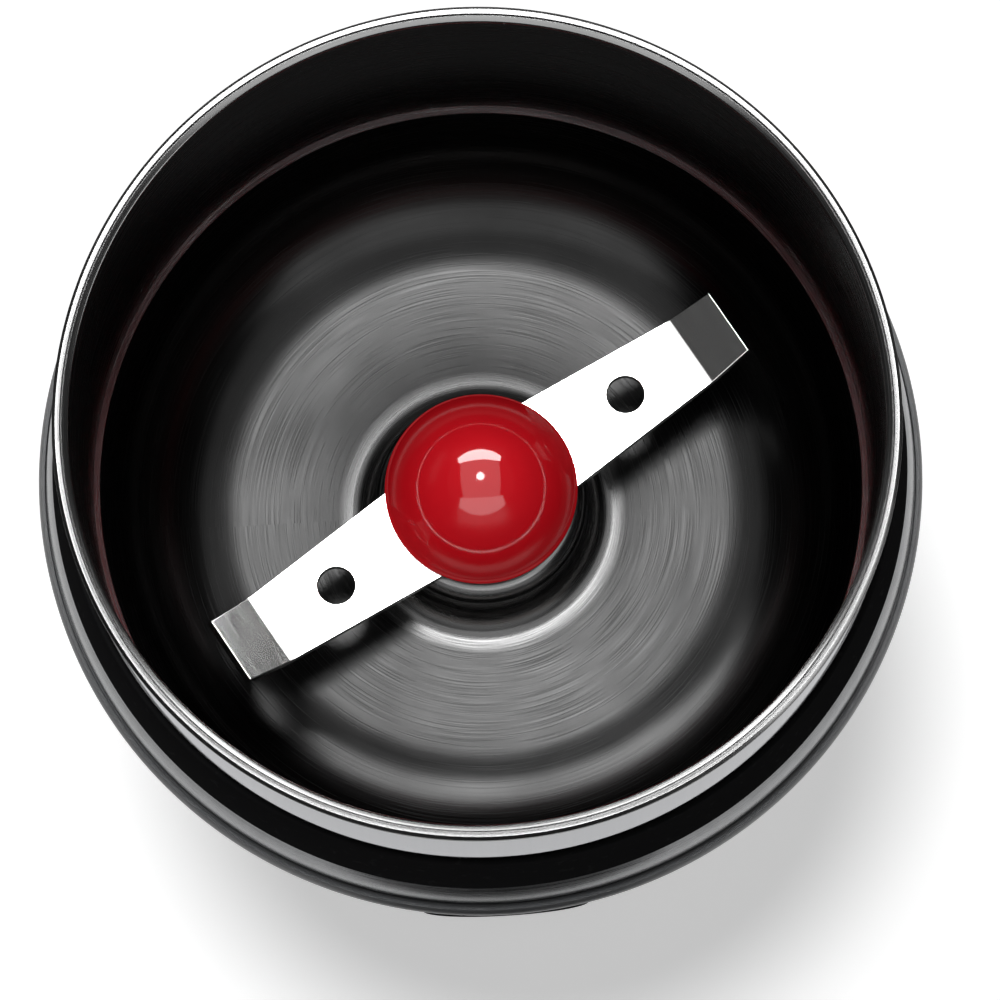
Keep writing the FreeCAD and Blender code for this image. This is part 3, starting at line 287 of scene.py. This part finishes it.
def grip_grey():
    n = Nodes("grip_grey")
    radius, angle, z = round_z(n)
    mottle = n.noise(n.place(), 420.0, 5.0, 0.7)
    lines = turned_lines(n, radius, angle, z, 6000.0, 3.0)
    tone = n.mix(n.span(lines, 0.3, 0.7, 0.0, 1.0), (0.12, 0.123, 0.127), (0.20, 0.203, 0.207))
    n.set(base_color=n.mix(n.span(mottle, 0.45, 0.70, 0.0, 0.45), tone, (0.075, 0.076, 0.078)),
          metallic=0.9, roughness=n.span(lines, 0.3, 0.7, 0.22, 0.34))
    n.bump(lines, 0.00002, 0.2)
    return n.material


def moulded(name, colour, rough, grain=2600.0, depth=0.00003, spec=0.4):
    """Moulded plastic or rubber with a fine eroded grain and a faint unevenness of tone."""
    n = Nodes(name)
    place = n.place()
    fine = n.noise(place, grain, 2.0)
    broad = n.noise(place, 55.0, 3.0)
    light = tuple(min(1.0, c * 1.25 + 0.004) for c in colour)
    n.set(base_color=n.mix(n.span(broad, 0.3, 0.7, 0.0, 1.0), colour, light),
          roughness=n.span(broad, 0.3, 0.7, rough, rough + 0.10), specular_ior_level=spec)
    n.bump(fine, depth, 0.4)
    return n.material


def metal(name, colour, rough, across=(2500.0, 2500.0, 2500.0), depth=0.00002):
    """Machined or cast metal. The scale across each axis gives the run of its marks."""
    n = Nodes(name)
    place = n.place()
    marks = n.noise(n.stretch(place, *across), 1.0, 3.0)
    broad = n.noise(place, 90.0, 3.0)
    dark = tuple(c * 0.78 for c in colour)
    n.set(base_color=n.mix(n.span(broad, 0.3, 0.7, 0.0, 1.0), colour, dark), metallic=1.0,
          roughness=n.span(marks, 0.3, 0.7, rough, rough + 0.14))
    n.bump(marks, depth, 0.3)
    return n.material


def blade_steel():
    n = Nodes("blade_steel")
    turn = n.add("ShaderNodeVectorRotate", rotation_type="Z_AXIS")
    n.link(n.place(), turn.inputs["Vector"])
    turn.inputs["Angle"].default_value = -HEADING
    lines = n.noise(n.stretch(turn.outputs[0], 5200.0, 120.0, 120.0), 1.0, 3.0)
    broad = n.noise(n.place(), 140.0, 3.0)
    n.set(base_color=n.mix(n.span(broad, 0.3, 0.7, 0.0, 0.5), (0.90, 0.90, 0.89), (0.82, 0.82, 0.81)),
          metallic=1.0, roughness=n.span(lines, 0.3, 0.7, 0.13, 0.18))
    n.bump(lines, 0.00001, 0.2)
    return n.material


def cap_red():
    n = Nodes("cap_red")
    place = n.place()
    height = n.split(place)[2]
    rise = n.span(height, BLADE_HIGH * MM, (BLADE_HIGH + CAP_RISE) * MM, 0.0, 1.0)
    cloud = n.noise(place, 160.0, 3.0)
    # Painted light and shade: the dome is lighter towards its top and darker towards its brim.
    tone = n.ramp(rise, [
        (0.0, (0.62, 0.006, 0.012)),
        (0.5, (0.76, 0.008, 0.016)),
        (1.0, (0.84, 0.012, 0.022)),
    ])
    n.set(base_color=n.mix(n.span(cloud, 0.35, 0.7, 0.0, 0.25), tone, (0.66, 0.006, 0.014)),
          roughness=n.span(cloud, 0.3, 0.7, 0.05, 0.10))
    n.set(coat_weight=0.3, coat_roughness=0.04)
    return n.material


def lamination():
    """Steel sheets of half a millimetre, seen from their edges."""
    n = Nodes("lamination_steel")
    height = n.split(n.place())[2]
    wave = n.math("SINE", n.math("MULTIPLY", height, 2 * math.pi / (0.5 * MM)))
    broad = n.noise(n.place(), 80.0, 3.0)
    n.set(base_color=n.mix(n.span(broad, 0.3, 0.7, 0.0, 1.0), (0.20, 0.20, 0.21), (0.30, 0.28, 0.26)),
          metallic=1.0, roughness=n.span(wave, -1.0, 1.0, 0.35, 0.55))
    n.bump(wave, 0.00005, 0.6)
    return n.material


def copper():
    n = Nodes("copper_wire")
    x, y, z = n.split(n.place())
    strands = n.math("SINE", n.math("MULTIPLY", n.math("ADD", n.math("ADD", x, y), z), 9000.0))
    n.set(base_color=n.mix(n.span(strands, -1.0, 1.0, 0.0, 1.0), (0.42, 0.14, 0.05), (0.68, 0.28, 0.12)),
          metallic=0.9, roughness=n.span(strands, -1.0, 1.0, 0.38, 0.22))
    n.bump(strands, 0.00012, 0.7)
    return n.material


FINISH = {
    "cup_steel": cup_steel(),
    "sleeve_chrome": sleeve_chrome(),
    "band_black": band_black(),
    "grip_grey": grip_grey(),
    "housing_dark": moulded("housing_dark", (0.045, 0.047, 0.050), 0.34),
    "inner_plastic": moulded("inner_plastic", (0.030, 0.030, 0.032), 0.45),
    "cap_red": cap_red(),
    "blade_steel": blade_steel(),
    "machined_steel": metal("machined_steel", (0.56, 0.56, 0.56), 0.22),
    "zinc_casting": metal("zinc_casting", (0.60, 0.60, 0.61), 0.42, (900.0, 900.0, 900.0), 0.00006),
    "lamination_steel": lamination(),
    "copper_wire": copper(),
    "bronze": metal("bronze", (0.55, 0.38, 0.18), 0.34, (3000.0, 3000.0, 3000.0), 0.00003),
    "carbon": moulded("carbon", (0.030, 0.030, 0.030), 0.60, 1800.0),
    "black_rubber": moulded("black_rubber", (0.020, 0.020, 0.020), 0.62, 1500.0, 0.00005, 0.25),
    "grey_rubber": moulded("grey_rubber", (0.12, 0.12, 0.12), 0.62, 1500.0, 0.00005, 0.25),
    "nylon_white": moulded("nylon_white", (0.68, 0.67, 0.62), 0.40, 2200.0),
    "button_grey": moulded("button_grey", (0.16, 0.165, 0.17), 0.26, 2600.0, 0.00002),
}

for part in frame["nodes"].values():
    for place in part.material_slots:
        place.material = FINISH[place.material.name.split(".")[0]]


# Shapes.
def arc(centre, start, stop, steps):
    """Points from start to stop about centre, with both ends."""
    first = start - centre
    last = stop - centre
    turn = math.atan2(first.x * last.y - first.y * last.x, first.dot(last))
    points = []
    for i in range(steps + 1):
        t = turn * i / steps
        points.append(centre + Vector((
            first.x * math.cos(t) - first.y * math.sin(t),
            first.x * math.sin(t) + first.y * math.cos(t),
        )))
    return points


def corner_arc(before, at, after, radius, steps):
    """Points that round the corner at `at` between its two neighbours."""
    a = (before - at).normalized()
    b = (after - at).normalized()
    angle = a.angle(b)
    reach = radius / math.tan(angle / 2)
    centre = at + (a + b).normalized() * (radius / math.sin(angle / 2))
    return arc(centre, at + a * reach, at + b * reach, steps)


def section(corners, steps=5):
    """A closed outline of (radius, height, round) corners in millimetres, as points."""
    places = [Vector(corner[:2]) for corner in corners]
    rounds = [corner[2] if len(corner) > 2 else 0.0 for corner in corners]
    points = []
    for i, place in enumerate(places):
        if rounds[i] > 0:
            points += corner_arc(places[i - 1], place, places[(i + 1) % len(places)], rounds[i], steps)
        else:
            points.append(place)
    return points


def bulge(start, stop, bow, steps):
    """Points between start and stop on an arc. Going up the outside, a positive bow swells outward."""
    a = Vector(start)
    b = Vector(stop)
    chord = b - a
    half = chord.length / 2
    side = Vector((-chord.y, chord.x)).normalized() * (1 if bow > 0 else -1)
    centre = (a + b) / 2 + side * math.sqrt(max(bow * bow - half * half, 0.0))
    return arc(centre, a, b, steps)[1:-1]


def as_object(name, bm):
    mesh = bpy.data.meshes.new(name)
    bm.to_mesh(mesh)
    bm.free()
    piece = bpy.data.objects.new(name, mesh)
    bpy.context.collection.objects.link(piece)
    return piece


def mesh_piece(name, bm, finish, body, stands_for, sharp=32.0):
    """Makes a piece of the visible model. Edges turned by more than sharp degrees stay crisp."""
    bmesh.ops.recalc_face_normals(bm, faces=bm.faces)
    piece = as_object(name, bm)
    piece.data.shade_smooth()
    piece.data.set_sharp_from_angle(angle=math.radians(sharp))
    piece.data.materials.append(FINISH[finish])
    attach(piece, body)
    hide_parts(stands_for)
    return piece


def lathe(points, turns=360):
    """Turns a closed outline about Z. Points at radius zero are shared."""
    bm = bmesh.new()
    rings = []
    for point in points:
        if point.x < 1e-6:
            vert = bm.verts.new((0, 0, point.y * MM))
            rings.append([vert] * turns)
        else:
            rings.append([
                bm.verts.new((
                    point.x * MM * math.cos(2 * math.pi * i / turns),
                    point.x * MM * math.sin(2 * math.pi * i / turns),
                    point.y * MM,
                ))
                for i in range(turns)
            ])
    for j, ring in enumerate(rings):
        after = rings[(j + 1) % len(rings)]
        if ring[0] is ring[1] and after[0] is after[1]:
            continue
        for i in range(turns):
            k = (i + 1) % turns
            corners = [ring[i], ring[k], after[k], after[i]]
            unique = list(dict.fromkeys(corners))
            if len(unique) > 2:
                bm.faces.new(unique)
    return bm


def cup():
    """The drawn steel bowl with its boss, its step and its rolled rim."""
    wall = 0.8
    hub_hole = 5.95
    boss_top = 86.5
    boss_under = boss_top - wall
    boss_top_round = 2.0
    boss_foot_round = 3.0
    corner = 15.0
    bead = CUP_OUT + 0.05
    inside = [
        (hub_hole, boss_under), (hub_hole, boss_top, 0.1),
        (BOSS_R, boss_top, boss_top_round), (BOSS_R, CUP_FLOOR, boss_foot_round),
        (CUP_IN - STEP, CUP_FLOOR, corner), (CUP_IN - STEP, STEP_TOP - STEP, 0.12), (CUP_IN, STEP_TOP, 0.12),
    ]
    rim = [
        (CUP_IN, RIM_TOP - 0.60, 0.35), (bead - 0.18, RIM_TOP - 0.22, 0.03),
        (bead - 0.10, RIM_TOP - 0.50, 0.03), (bead, RIM_TOP - 0.06, 0.05), (bead + 0.50, RIM_TOP, 0.06),
        (RIM_R, RIM_TOP - 0.38, 0.06), (RIM_R, RIM_TOP - RIM_DEEP, 0.06), (CUP_OUT, RIM_TOP - RIM_DEEP),
    ]
    outside = [
        (CUP_OUT, STEP_TOP), (CUP_OUT - STEP, STEP_TOP - STEP),
        (CUP_OUT - STEP, CUP_FLOOR - wall, corner + wall),
        (BOSS_R - wall, CUP_FLOOR - wall, boss_foot_round + wall),
        (BOSS_R - wall, boss_under, boss_top_round - wall),
    ]
    points = section(inside + rim + outside, 10)
    return mesh_piece("bowl_skin", lathe(points), "cup_steel", "bowl", "grinding_cup", 60.0)


def sleeve():
    """The bright outer wall, a little narrower at its top."""
    inner = CUP_OUT + 0.02
    top = RIM_TOP - RIM_DEEP
    points = section([
        (inner, LEDGE_TOP), (RIM_R - 0.2, LEDGE_TOP), (RIM_R, LEDGE_TOP + 0.3, 0.1),
        (inner + 0.1, top), (inner, top),
    ], 3)
    return mesh_piece("sleeve_skin", lathe(points), "sleeve_chrome", "bowl", "rim_sleeve")


def arc_block(bm, near, far, low, high, heading, half_width, steps=6):
    """A block between two radii, square to the radius at heading, curved as the radii are."""
    rows = []
    for radius in (near, far):
        spread = math.asin(half_width / radius)
        for level in (low, high):
            rows.append([
                bm.verts.new((
                    radius * MM * math.cos(heading - spread + 2 * spread * i / steps),
                    radius * MM * math.sin(heading - spread + 2 * spread * i / steps),
                    level * MM,
                ))
                for i in range(steps + 1)
            ])
    near_low, near_high, far_low, far_high = rows
    loop = [near_low, near_high, far_high, far_low]
    for first, second in zip(loop, loop[1:] + loop[:1]):
        for i in range(steps):
            bm.faces.new((first[i], first[i + 1], second[i + 1], second[i]))
    bm.faces.new((near_low[0], near_high[0], far_high[0], far_low[0]))
    bm.faces.new((near_low[-1], far_low[-1], far_high[-1], near_high[-1]))


def band():
    """The hollow-sided band below the ledge, its tongue and the three lugs that hold the bowl in its seat."""
    inner = CUP_OUT + 0.05
    top = 45.5
    edge = 0.25
    lug_count = 3
    points = section([(inner, SEAM_TOP), (TONGUE_R, SEAM_TOP), (TONGUE_R, BAND_LOW)])
    points.append(Vector((BAND_R, BAND_LOW)))
    points += bulge((BAND_R, BAND_LOW), (top, LEDGE_TOP - edge), -22.0, 14)
    points += section([(top, LEDGE_TOP - edge), (top, LEDGE_TOP, edge - 0.01), (inner, LEDGE_TOP)], 4)
    bm = lathe(points)
    for i in range(lug_count):
        heading = 2 * math.pi * i / lug_count
        arc_block(bm, RIM_R, TONGUE_R, SEAM_TOP - 3.0, SEAM_TOP, heading, 4.0)
    return mesh_piece("band_skin", bm, "band_black", "bowl", "collar_band")


def grip():
    inner = TONGUE_R + 0.05
    foot = 48.0
    edge = 0.3
    points = [Vector((inner, SEAM_TOP)), Vector((foot - edge, SEAM_TOP))]
    points += bulge((foot - edge, SEAM_TOP), (foot, SEAM_TOP + edge), edge, 5)
    points.append(Vector((foot, SEAM_TOP + edge)))
    points += bulge((foot, SEAM_TOP + edge), (BAND_R, BAND_LOW), 14.0, 12)
    points += [Vector((BAND_R, BAND_LOW)), Vector((inner, BAND_LOW))]
    return mesh_piece("grip_skin", lathe(points), "grip_grey", "bowl", "grip_ring")


def cap():
    """The red dome on its thin brim."""
    radius = 10.7
    wall = 1.1
    tip = 7.8
    steps = 36
    brim_out = radius + 0.15
    brim_top = BLADE_HIGH + 0.7
    inner = radius - wall
    # The dome is part of an ellipse with the radius of curvature tip at its top.
    fall = tip * CAP_RISE / (radius * radius)
    ratio = (2 * fall - 1) / (fall * fall)
    wide = radius / math.sqrt(ratio)
    tall = wide * wide / tip
    dome = []
    for i in range(steps + 1):
        out = 1 - i / steps
        drop = tall * (1 - math.sqrt(1 - ratio * out ** 2))
        dome.append(Vector((radius * out, brim_top + CAP_RISE - drop)))
    points = section([
        (inner, BLADE_HIGH), (brim_out, BLADE_HIGH, 0.12), (brim_out, brim_top - 0.15, 0.12),
        (radius, brim_top),
    ], 3)
    points += dome[1:]
    points += [Vector((point.x * inner / radius, point.y - wall)) for point in dome[::-1]]
    return mesh_piece("cap_skin", lathe(points, 192), "cap_red", "blade", "blade_cap")


def cutter(radius, middle, length, along="Z", sides=96):
    """A rod that other pieces are cut with, along Z or Y."""
    place = Matrix.Translation(Vector(middle) * MM)
    if along == "Y":
        place @= Matrix.Rotation(math.radians(90), 4, "X")
    bm = bmesh.new()
    bmesh.ops.create_cone(bm, cap_ends=True, segments=sides, radius1=radius * MM, radius2=radius * MM,
                          depth=length * MM, matrix=place)
    return as_object("cut", bm)


def cut(piece, tools):
    for tool in tools:
        step = piece.modifiers.new("cut", "BOOLEAN")
        step.operation = "DIFFERENCE"
        step.solver = "EXACT"
        step.object = tool


def settle(piece, tools):
    """Applies a piece's modifiers and takes the cutting tools away."""
    graph = bpy.context.evaluated_depsgraph_get()
    mesh = bpy.data.meshes.new_from_object(piece.evaluated_get(graph))
    piece.modifiers.clear()
    old = piece.data
    piece.data = mesh
    bpy.data.meshes.remove(old)
    for tool in tools:
        bpy.data.objects.remove(tool)


def blade_stations():
    """Places along one wing, from the middle out: distance, height of the top face and slope."""
    bend = math.radians(27.0)
    bend_start = 28.0
    bend_radius = 1.6
    bend_steps = 8
    tip_steps = 3
    stations = [(x, BLADE_HIGH, 0.0) for x in (0.0, 8.0, 15.0, 24.0)]
    for i in range(bend_steps + 1):
        t = bend * i / bend_steps
        stations.append((
            bend_start + bend_radius * math.sin(t), BLADE_HIGH + bend_radius * (1 - math.cos(t)), t,
        ))
    x, z, _ = stations[-1]
    for i in range(1, tip_steps + 1):
        step = (BLADE_REACH - x) * i / tip_steps
        stations.append((x + step, z + step * math.tan(bend), bend))
    return stations


def blade():
    """A strip bent up at both ends, tapered from the middle, with its holes cut and its edges eased."""
    wall = BLADE_HIGH - BLADE_LOW
    half_middle = 6.45
    half_tip = 3.9
    hole_reach = 19.6
    holes = [(2.1, hole_reach), (2.1, -hole_reach), (3.05, 0.0)]
    stations = blade_stations()
    rows = []
    bm = bmesh.new()
    strip = [(-x, z, -t) for x, z, t in stations[:0:-1]] + stations
    for x, z, t in strip:
        half = half_middle + (half_tip - half_middle) * min(abs(x) / (BLADE_REACH + wall), 1.0)
        top = (x, z)
        under = (x + wall * math.sin(t), z - wall * math.cos(t))
        rows.append([
            bm.verts.new((across * MM, side * half * MM, level * MM))
            for (across, level), side in ((top, -1), (top, 1), (under, 1), (under, -1))
        ])
    for a, b in zip(rows, rows[1:]):
        for i in range(4):
            bm.faces.new((a[i], a[(i + 1) % 4], b[(i + 1) % 4], b[i]))
    bm.faces.new(rows[0])
    bm.faces.new(rows[-1][::-1])
    bmesh.ops.recalc_face_normals(bm, faces=bm.faces)
    piece = as_object("blade_skin", bm)
    tools = [cutter(radius, (x, 0, (BLADE_LOW + BLADE_HIGH) / 2), 8) for radius, x in holes]
    cut(piece, tools)
    ease = piece.modifiers.new("ease", "BEVEL")
    ease.width = 0.12 * MM
    ease.segments = 2
    ease.limit_method = "ANGLE"
    ease.angle_limit = math.radians(50)
    level = piece.modifiers.new("level", "WEIGHTED_NORMAL")
    level.weight = 100
    piece.data.shade_smooth()
    settle(piece, tools)
    piece.data.transform(Matrix.Rotation(HEADING, 4, "Z"))
    piece.data.materials.clear()
    piece.data.materials.append(FINISH["blade_steel"])
    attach(piece, "blade")
    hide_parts("grinding_blade")
    return piece


def merge(bm, other):
    """Adds another form's faces to a form."""
    spare = bpy.data.meshes.new("spare")
    other.to_mesh(spare)
    other.free()
    bm.from_mesh(spare)
    bpy.data.meshes.remove(spare)


def housing_outline():
    """The shell's section: hollow in outline, with a rounded foot and a groove in its lip for the seam."""
    wall = 2.0
    foot = 38.0
    foot_low = 2.5
    foot_edge = 1.2
    foot_high = foot_low + foot_edge
    lip = 49.1
    shoulder = 98.7
    top = 100.2
    lip_top = lip - 0.4
    groove_out = lip - 0.85
    groove_in = lip - 1.2
    groove_low = top - 0.8
    hollow = 900.0
    points = [Vector((foot - wall, foot_low))]
    points += section([(foot - wall, foot_low), (foot, foot_low, foot_edge - 0.01), (foot, foot_high)], 5)[1:]
    points += bulge((foot, foot_high), (lip, shoulder), -hollow, 30)
    points.append(Vector((lip, shoulder)))
    points += bulge((lip, shoulder), (lip_top, top), 3.0, 6)
    points += section([
        (lip_top, top), (groove_out, top, 0.08), (groove_out, groove_low), (groove_in, groove_low),
        (groove_in, shoulder), (lip - wall, shoulder),
    ], 3)
    points += bulge((lip - wall, shoulder), (foot - wall, foot_high), hollow + wall, 20)
    points.append(Vector((foot - wall, foot_high)))
    return points


def inlet_boss(hole, face, height):
    """The round boss that the cord's gland goes through, along Y."""
    outer = 7.5
    edge = 0.3
    deep = 5.0
    corners = [(hole, 0.0), (outer - edge, 0.0), (outer, edge), (outer, deep), (hole, deep)]
    boss = lathe([Vector(corner) for corner in corners], 96)
    place = Matrix.Translation(Vector((0, face, height)) * MM)
    boss.transform(place @ Matrix.Rotation(math.radians(90), 4, "X"))
    return boss


def screw_posts(bm):
    """Four posts for the cover's screws, each with a rib to the wall."""
    circle = 30.0
    low = 4.7
    high = 16.0
    hole_end = 13.8
    hole = 1.55
    outer = 3.5
    corners = [(hole, low), (outer, low), (outer, high), (0.0, high), (0.0, hole_end), (hole, hole_end)]
    for i in range(4):
        heading = math.radians(45 + 90 * i)
        post = lathe([Vector(corner) for corner in corners], 48)
        post.transform(Matrix.Translation(Vector((math.cos(heading), math.sin(heading), 0)) * circle * MM))
        merge(bm, post)
        arc_block(bm, circle + outer - 0.3, 36.6, low, high, heading, 1.0)


def housing():
    """The body's shell with its lip, the button's opening, the boss of the cord inlet and the screw posts."""
    button_hole = 9.85
    button_height = 52
    inlet_hole = 4.55
    inlet_height = 14
    inlet_face = 40.8
    bm = lathe(housing_outline())
    bmesh.ops.recalc_face_normals(bm, faces=bm.faces)
    piece = as_object("housing_skin", bm)
    tools = [
        cutter(button_hole, (0, -45, button_height), 30, "Y", 160),
        cutter(inlet_hole, (0, 40, inlet_height), 16, "Y"),
    ]
    cut(piece, tools)
    settle(piece, tools)
    bm = bmesh.new()
    bm.from_mesh(piece.data)
    bpy.data.objects.remove(piece)
    merge(bm, inlet_boss(inlet_hole, inlet_face, inlet_height))
    screw_posts(bm)
    return mesh_piece("housing_skin", bm, "housing_dark", "base", "housing_shell", 40.0)


cup()
sleeve()
band()
grip()
cap()
blade()
housing()


# Floor and light.
def bare_tree(holder):
    holder.use_nodes = True
    holder.node_tree.nodes.clear()
    return holder.node_tree


def floor_white():
    """Matt white that takes the shadow, lifted to paper white for the camera and in reflections."""
    material = bpy.data.materials.new("floor")
    tree = bare_tree(material)
    rays = tree.nodes.new("ShaderNodeLightPath")
    seen = rays.outputs["Is Camera Ray"]
    for kind in ("Is Glossy Ray", "Is Transmission Ray"):
        either = tree.nodes.new("ShaderNodeMath")
        either.operation = "MAXIMUM"
        tree.links.new(seen, either.inputs[0])
        tree.links.new(rays.outputs[kind], either.inputs[1])
        seen = either.outputs[0]
    lift = tree.nodes.new("ShaderNodeMath")
    lift.operation = "MULTIPLY"
    lift.inputs[1].default_value = 0.50
    glow = tree.nodes.new("ShaderNodeEmission")
    matt = tree.nodes.new("ShaderNodeBsdfDiffuse")
    matt.inputs["Color"].default_value = (0.86, 0.86, 0.86, 1)
    total = tree.nodes.new("ShaderNodeAddShader")
    out = tree.nodes.new("ShaderNodeOutputMaterial")
    tree.links.new(seen, lift.inputs[0])
    tree.links.new(lift.outputs[0], glow.inputs["Strength"])
    tree.links.new(matt.outputs[0], total.inputs[0])
    tree.links.new(glow.outputs[0], total.inputs[1])
    tree.links.new(total.outputs[0], out.inputs[0])
    return material


def floor():
    bm = bmesh.new()
    bmesh.ops.create_grid(bm, x_segments=8, y_segments=8, size=4.0)
    plane = as_object("floor", bm)
    plane.data.materials.append(floor_white())


def ring_of_points(bm, radius, middle_y, level, sides=96):
    turns = [2 * math.pi * i / sides for i in range(sides)]
    return [bm.verts.new((radius * math.cos(t), radius * math.sin(t) + middle_y, level)) for t in turns]


def dark_room():
    """What polished faces mirror beyond the white table: a dark room and a dark patch in front."""
    level = 0.0003
    bm = bmesh.new()
    near = ring_of_points(bm, 0.30, 0.0, level)
    far = ring_of_points(bm, 3.9, 0.0, level)
    for i in range(len(near)):
        bm.faces.new((near[i - 1], near[i], far[i], far[i - 1]))
    bm.faces.new(ring_of_points(bm, 0.075, -0.178, level))
    cards = as_object("dark_room", bm)
    material = bpy.data.materials.new("dark_room")
    material.use_nodes = True
    shader = material.node_tree.nodes["Principled BSDF"]
    shader.inputs["Base Color"].default_value = (0.02, 0.02, 0.02, 1)
    shader.inputs["Roughness"].default_value = 0.9
    cards.data.materials.append(material)
    cards.visible_camera = False
    cards.visible_diffuse = False
    cards.visible_shadow = False
    cards.visible_transmission = False


def world():
    """White behind the floor for the camera, and nearly dark for everything else."""
    space = bpy.data.worlds.new("studio")
    bpy.context.scene.world = space
    tree = bare_tree(space)
    rays = tree.nodes.new("ShaderNodeLightPath")
    mix = tree.nodes.new("ShaderNodeMix")
    mix.data_type = "RGBA"
    mix.inputs[6].default_value = (0.05, 0.05, 0.05, 1)
    mix.inputs[7].default_value = (1, 1, 1, 1)
    back = tree.nodes.new("ShaderNodeBackground")
    out = tree.nodes.new("ShaderNodeOutputWorld")
    tree.links.new(rays.outputs["Is Camera Ray"], mix.inputs[0])
    tree.links.new(mix.outputs[2], back.inputs["Color"])
    tree.links.new(back.outputs[0], out.inputs[0])


def aim_lamp(lamp, off_zenith, heading, distance):
    """Puts a lamp at an angle off the zenith, towards a heading from +X, and turns it to the bowl."""
    tilt = math.radians(off_zenith)
    turn = math.radians(heading)
    target = Vector((0, 0, 0.1))
    way = Vector((math.sin(tilt) * math.cos(turn), math.sin(tilt) * math.sin(turn), math.cos(tilt)))
    lamp.location = target + way * distance
    lamp.rotation_euler = (-way).to_track_quat("-Z", "Y").to_euler()
    bpy.context.collection.objects.link(lamp)


def sun(name, off_zenith, heading, width, strength):
    """The light that falls on everything. Polished metal mirrors only the panels."""
    data = bpy.data.lights.new(name, "SUN")
    data.energy = strength
    data.angle = math.radians(width)
    lamp = bpy.data.objects.new(name, data)
    lamp.visible_glossy = False
    aim_lamp(lamp, off_zenith, heading, 1.6)


def panel(name, off_zenith, heading, distance, wide, tall, radiance, shape="RECTANGLE"):
    """A flat light that shows only in reflections."""
    data = bpy.data.lights.new(name, "AREA")
    data.shape = shape
    data.size = wide
    if shape == "RECTANGLE":
        data.size_y = tall
    area = wide * tall * (math.pi / 4 if shape == "DISK" else 1.0)
    data.energy = radiance * math.pi * area
    lamp = bpy.data.objects.new(name, data)
    lamp.visible_diffuse = False
    aim_lamp(lamp, off_zenith, heading, distance)


floor()
dark_room()
world()
sun("key", off_zenith=6.0, heading=125.0, width=12.0, strength=2.0)
panel("north", off_zenith=47.0, heading=90.0, distance=1.1, wide=1.32, tall=0.46, radiance=13.0)
panel("south", off_zenith=40.0, heading=-90.0, distance=1.1, wide=1.48, tall=0.54, radiance=2.4)
panel("canopy", off_zenith=4.5, heading=90.0, distance=1.2, wide=1.50, tall=1.40, radiance=1.15)
panel("bulb", off_zenith=7.2, heading=90.0, distance=1.1, wide=0.25, tall=0.25, radiance=20.0, shape="DISK")
panel("right", off_zenith=76.0, heading=-25.0, distance=0.9, wide=0.6, tall=0.4, radiance=4.0)
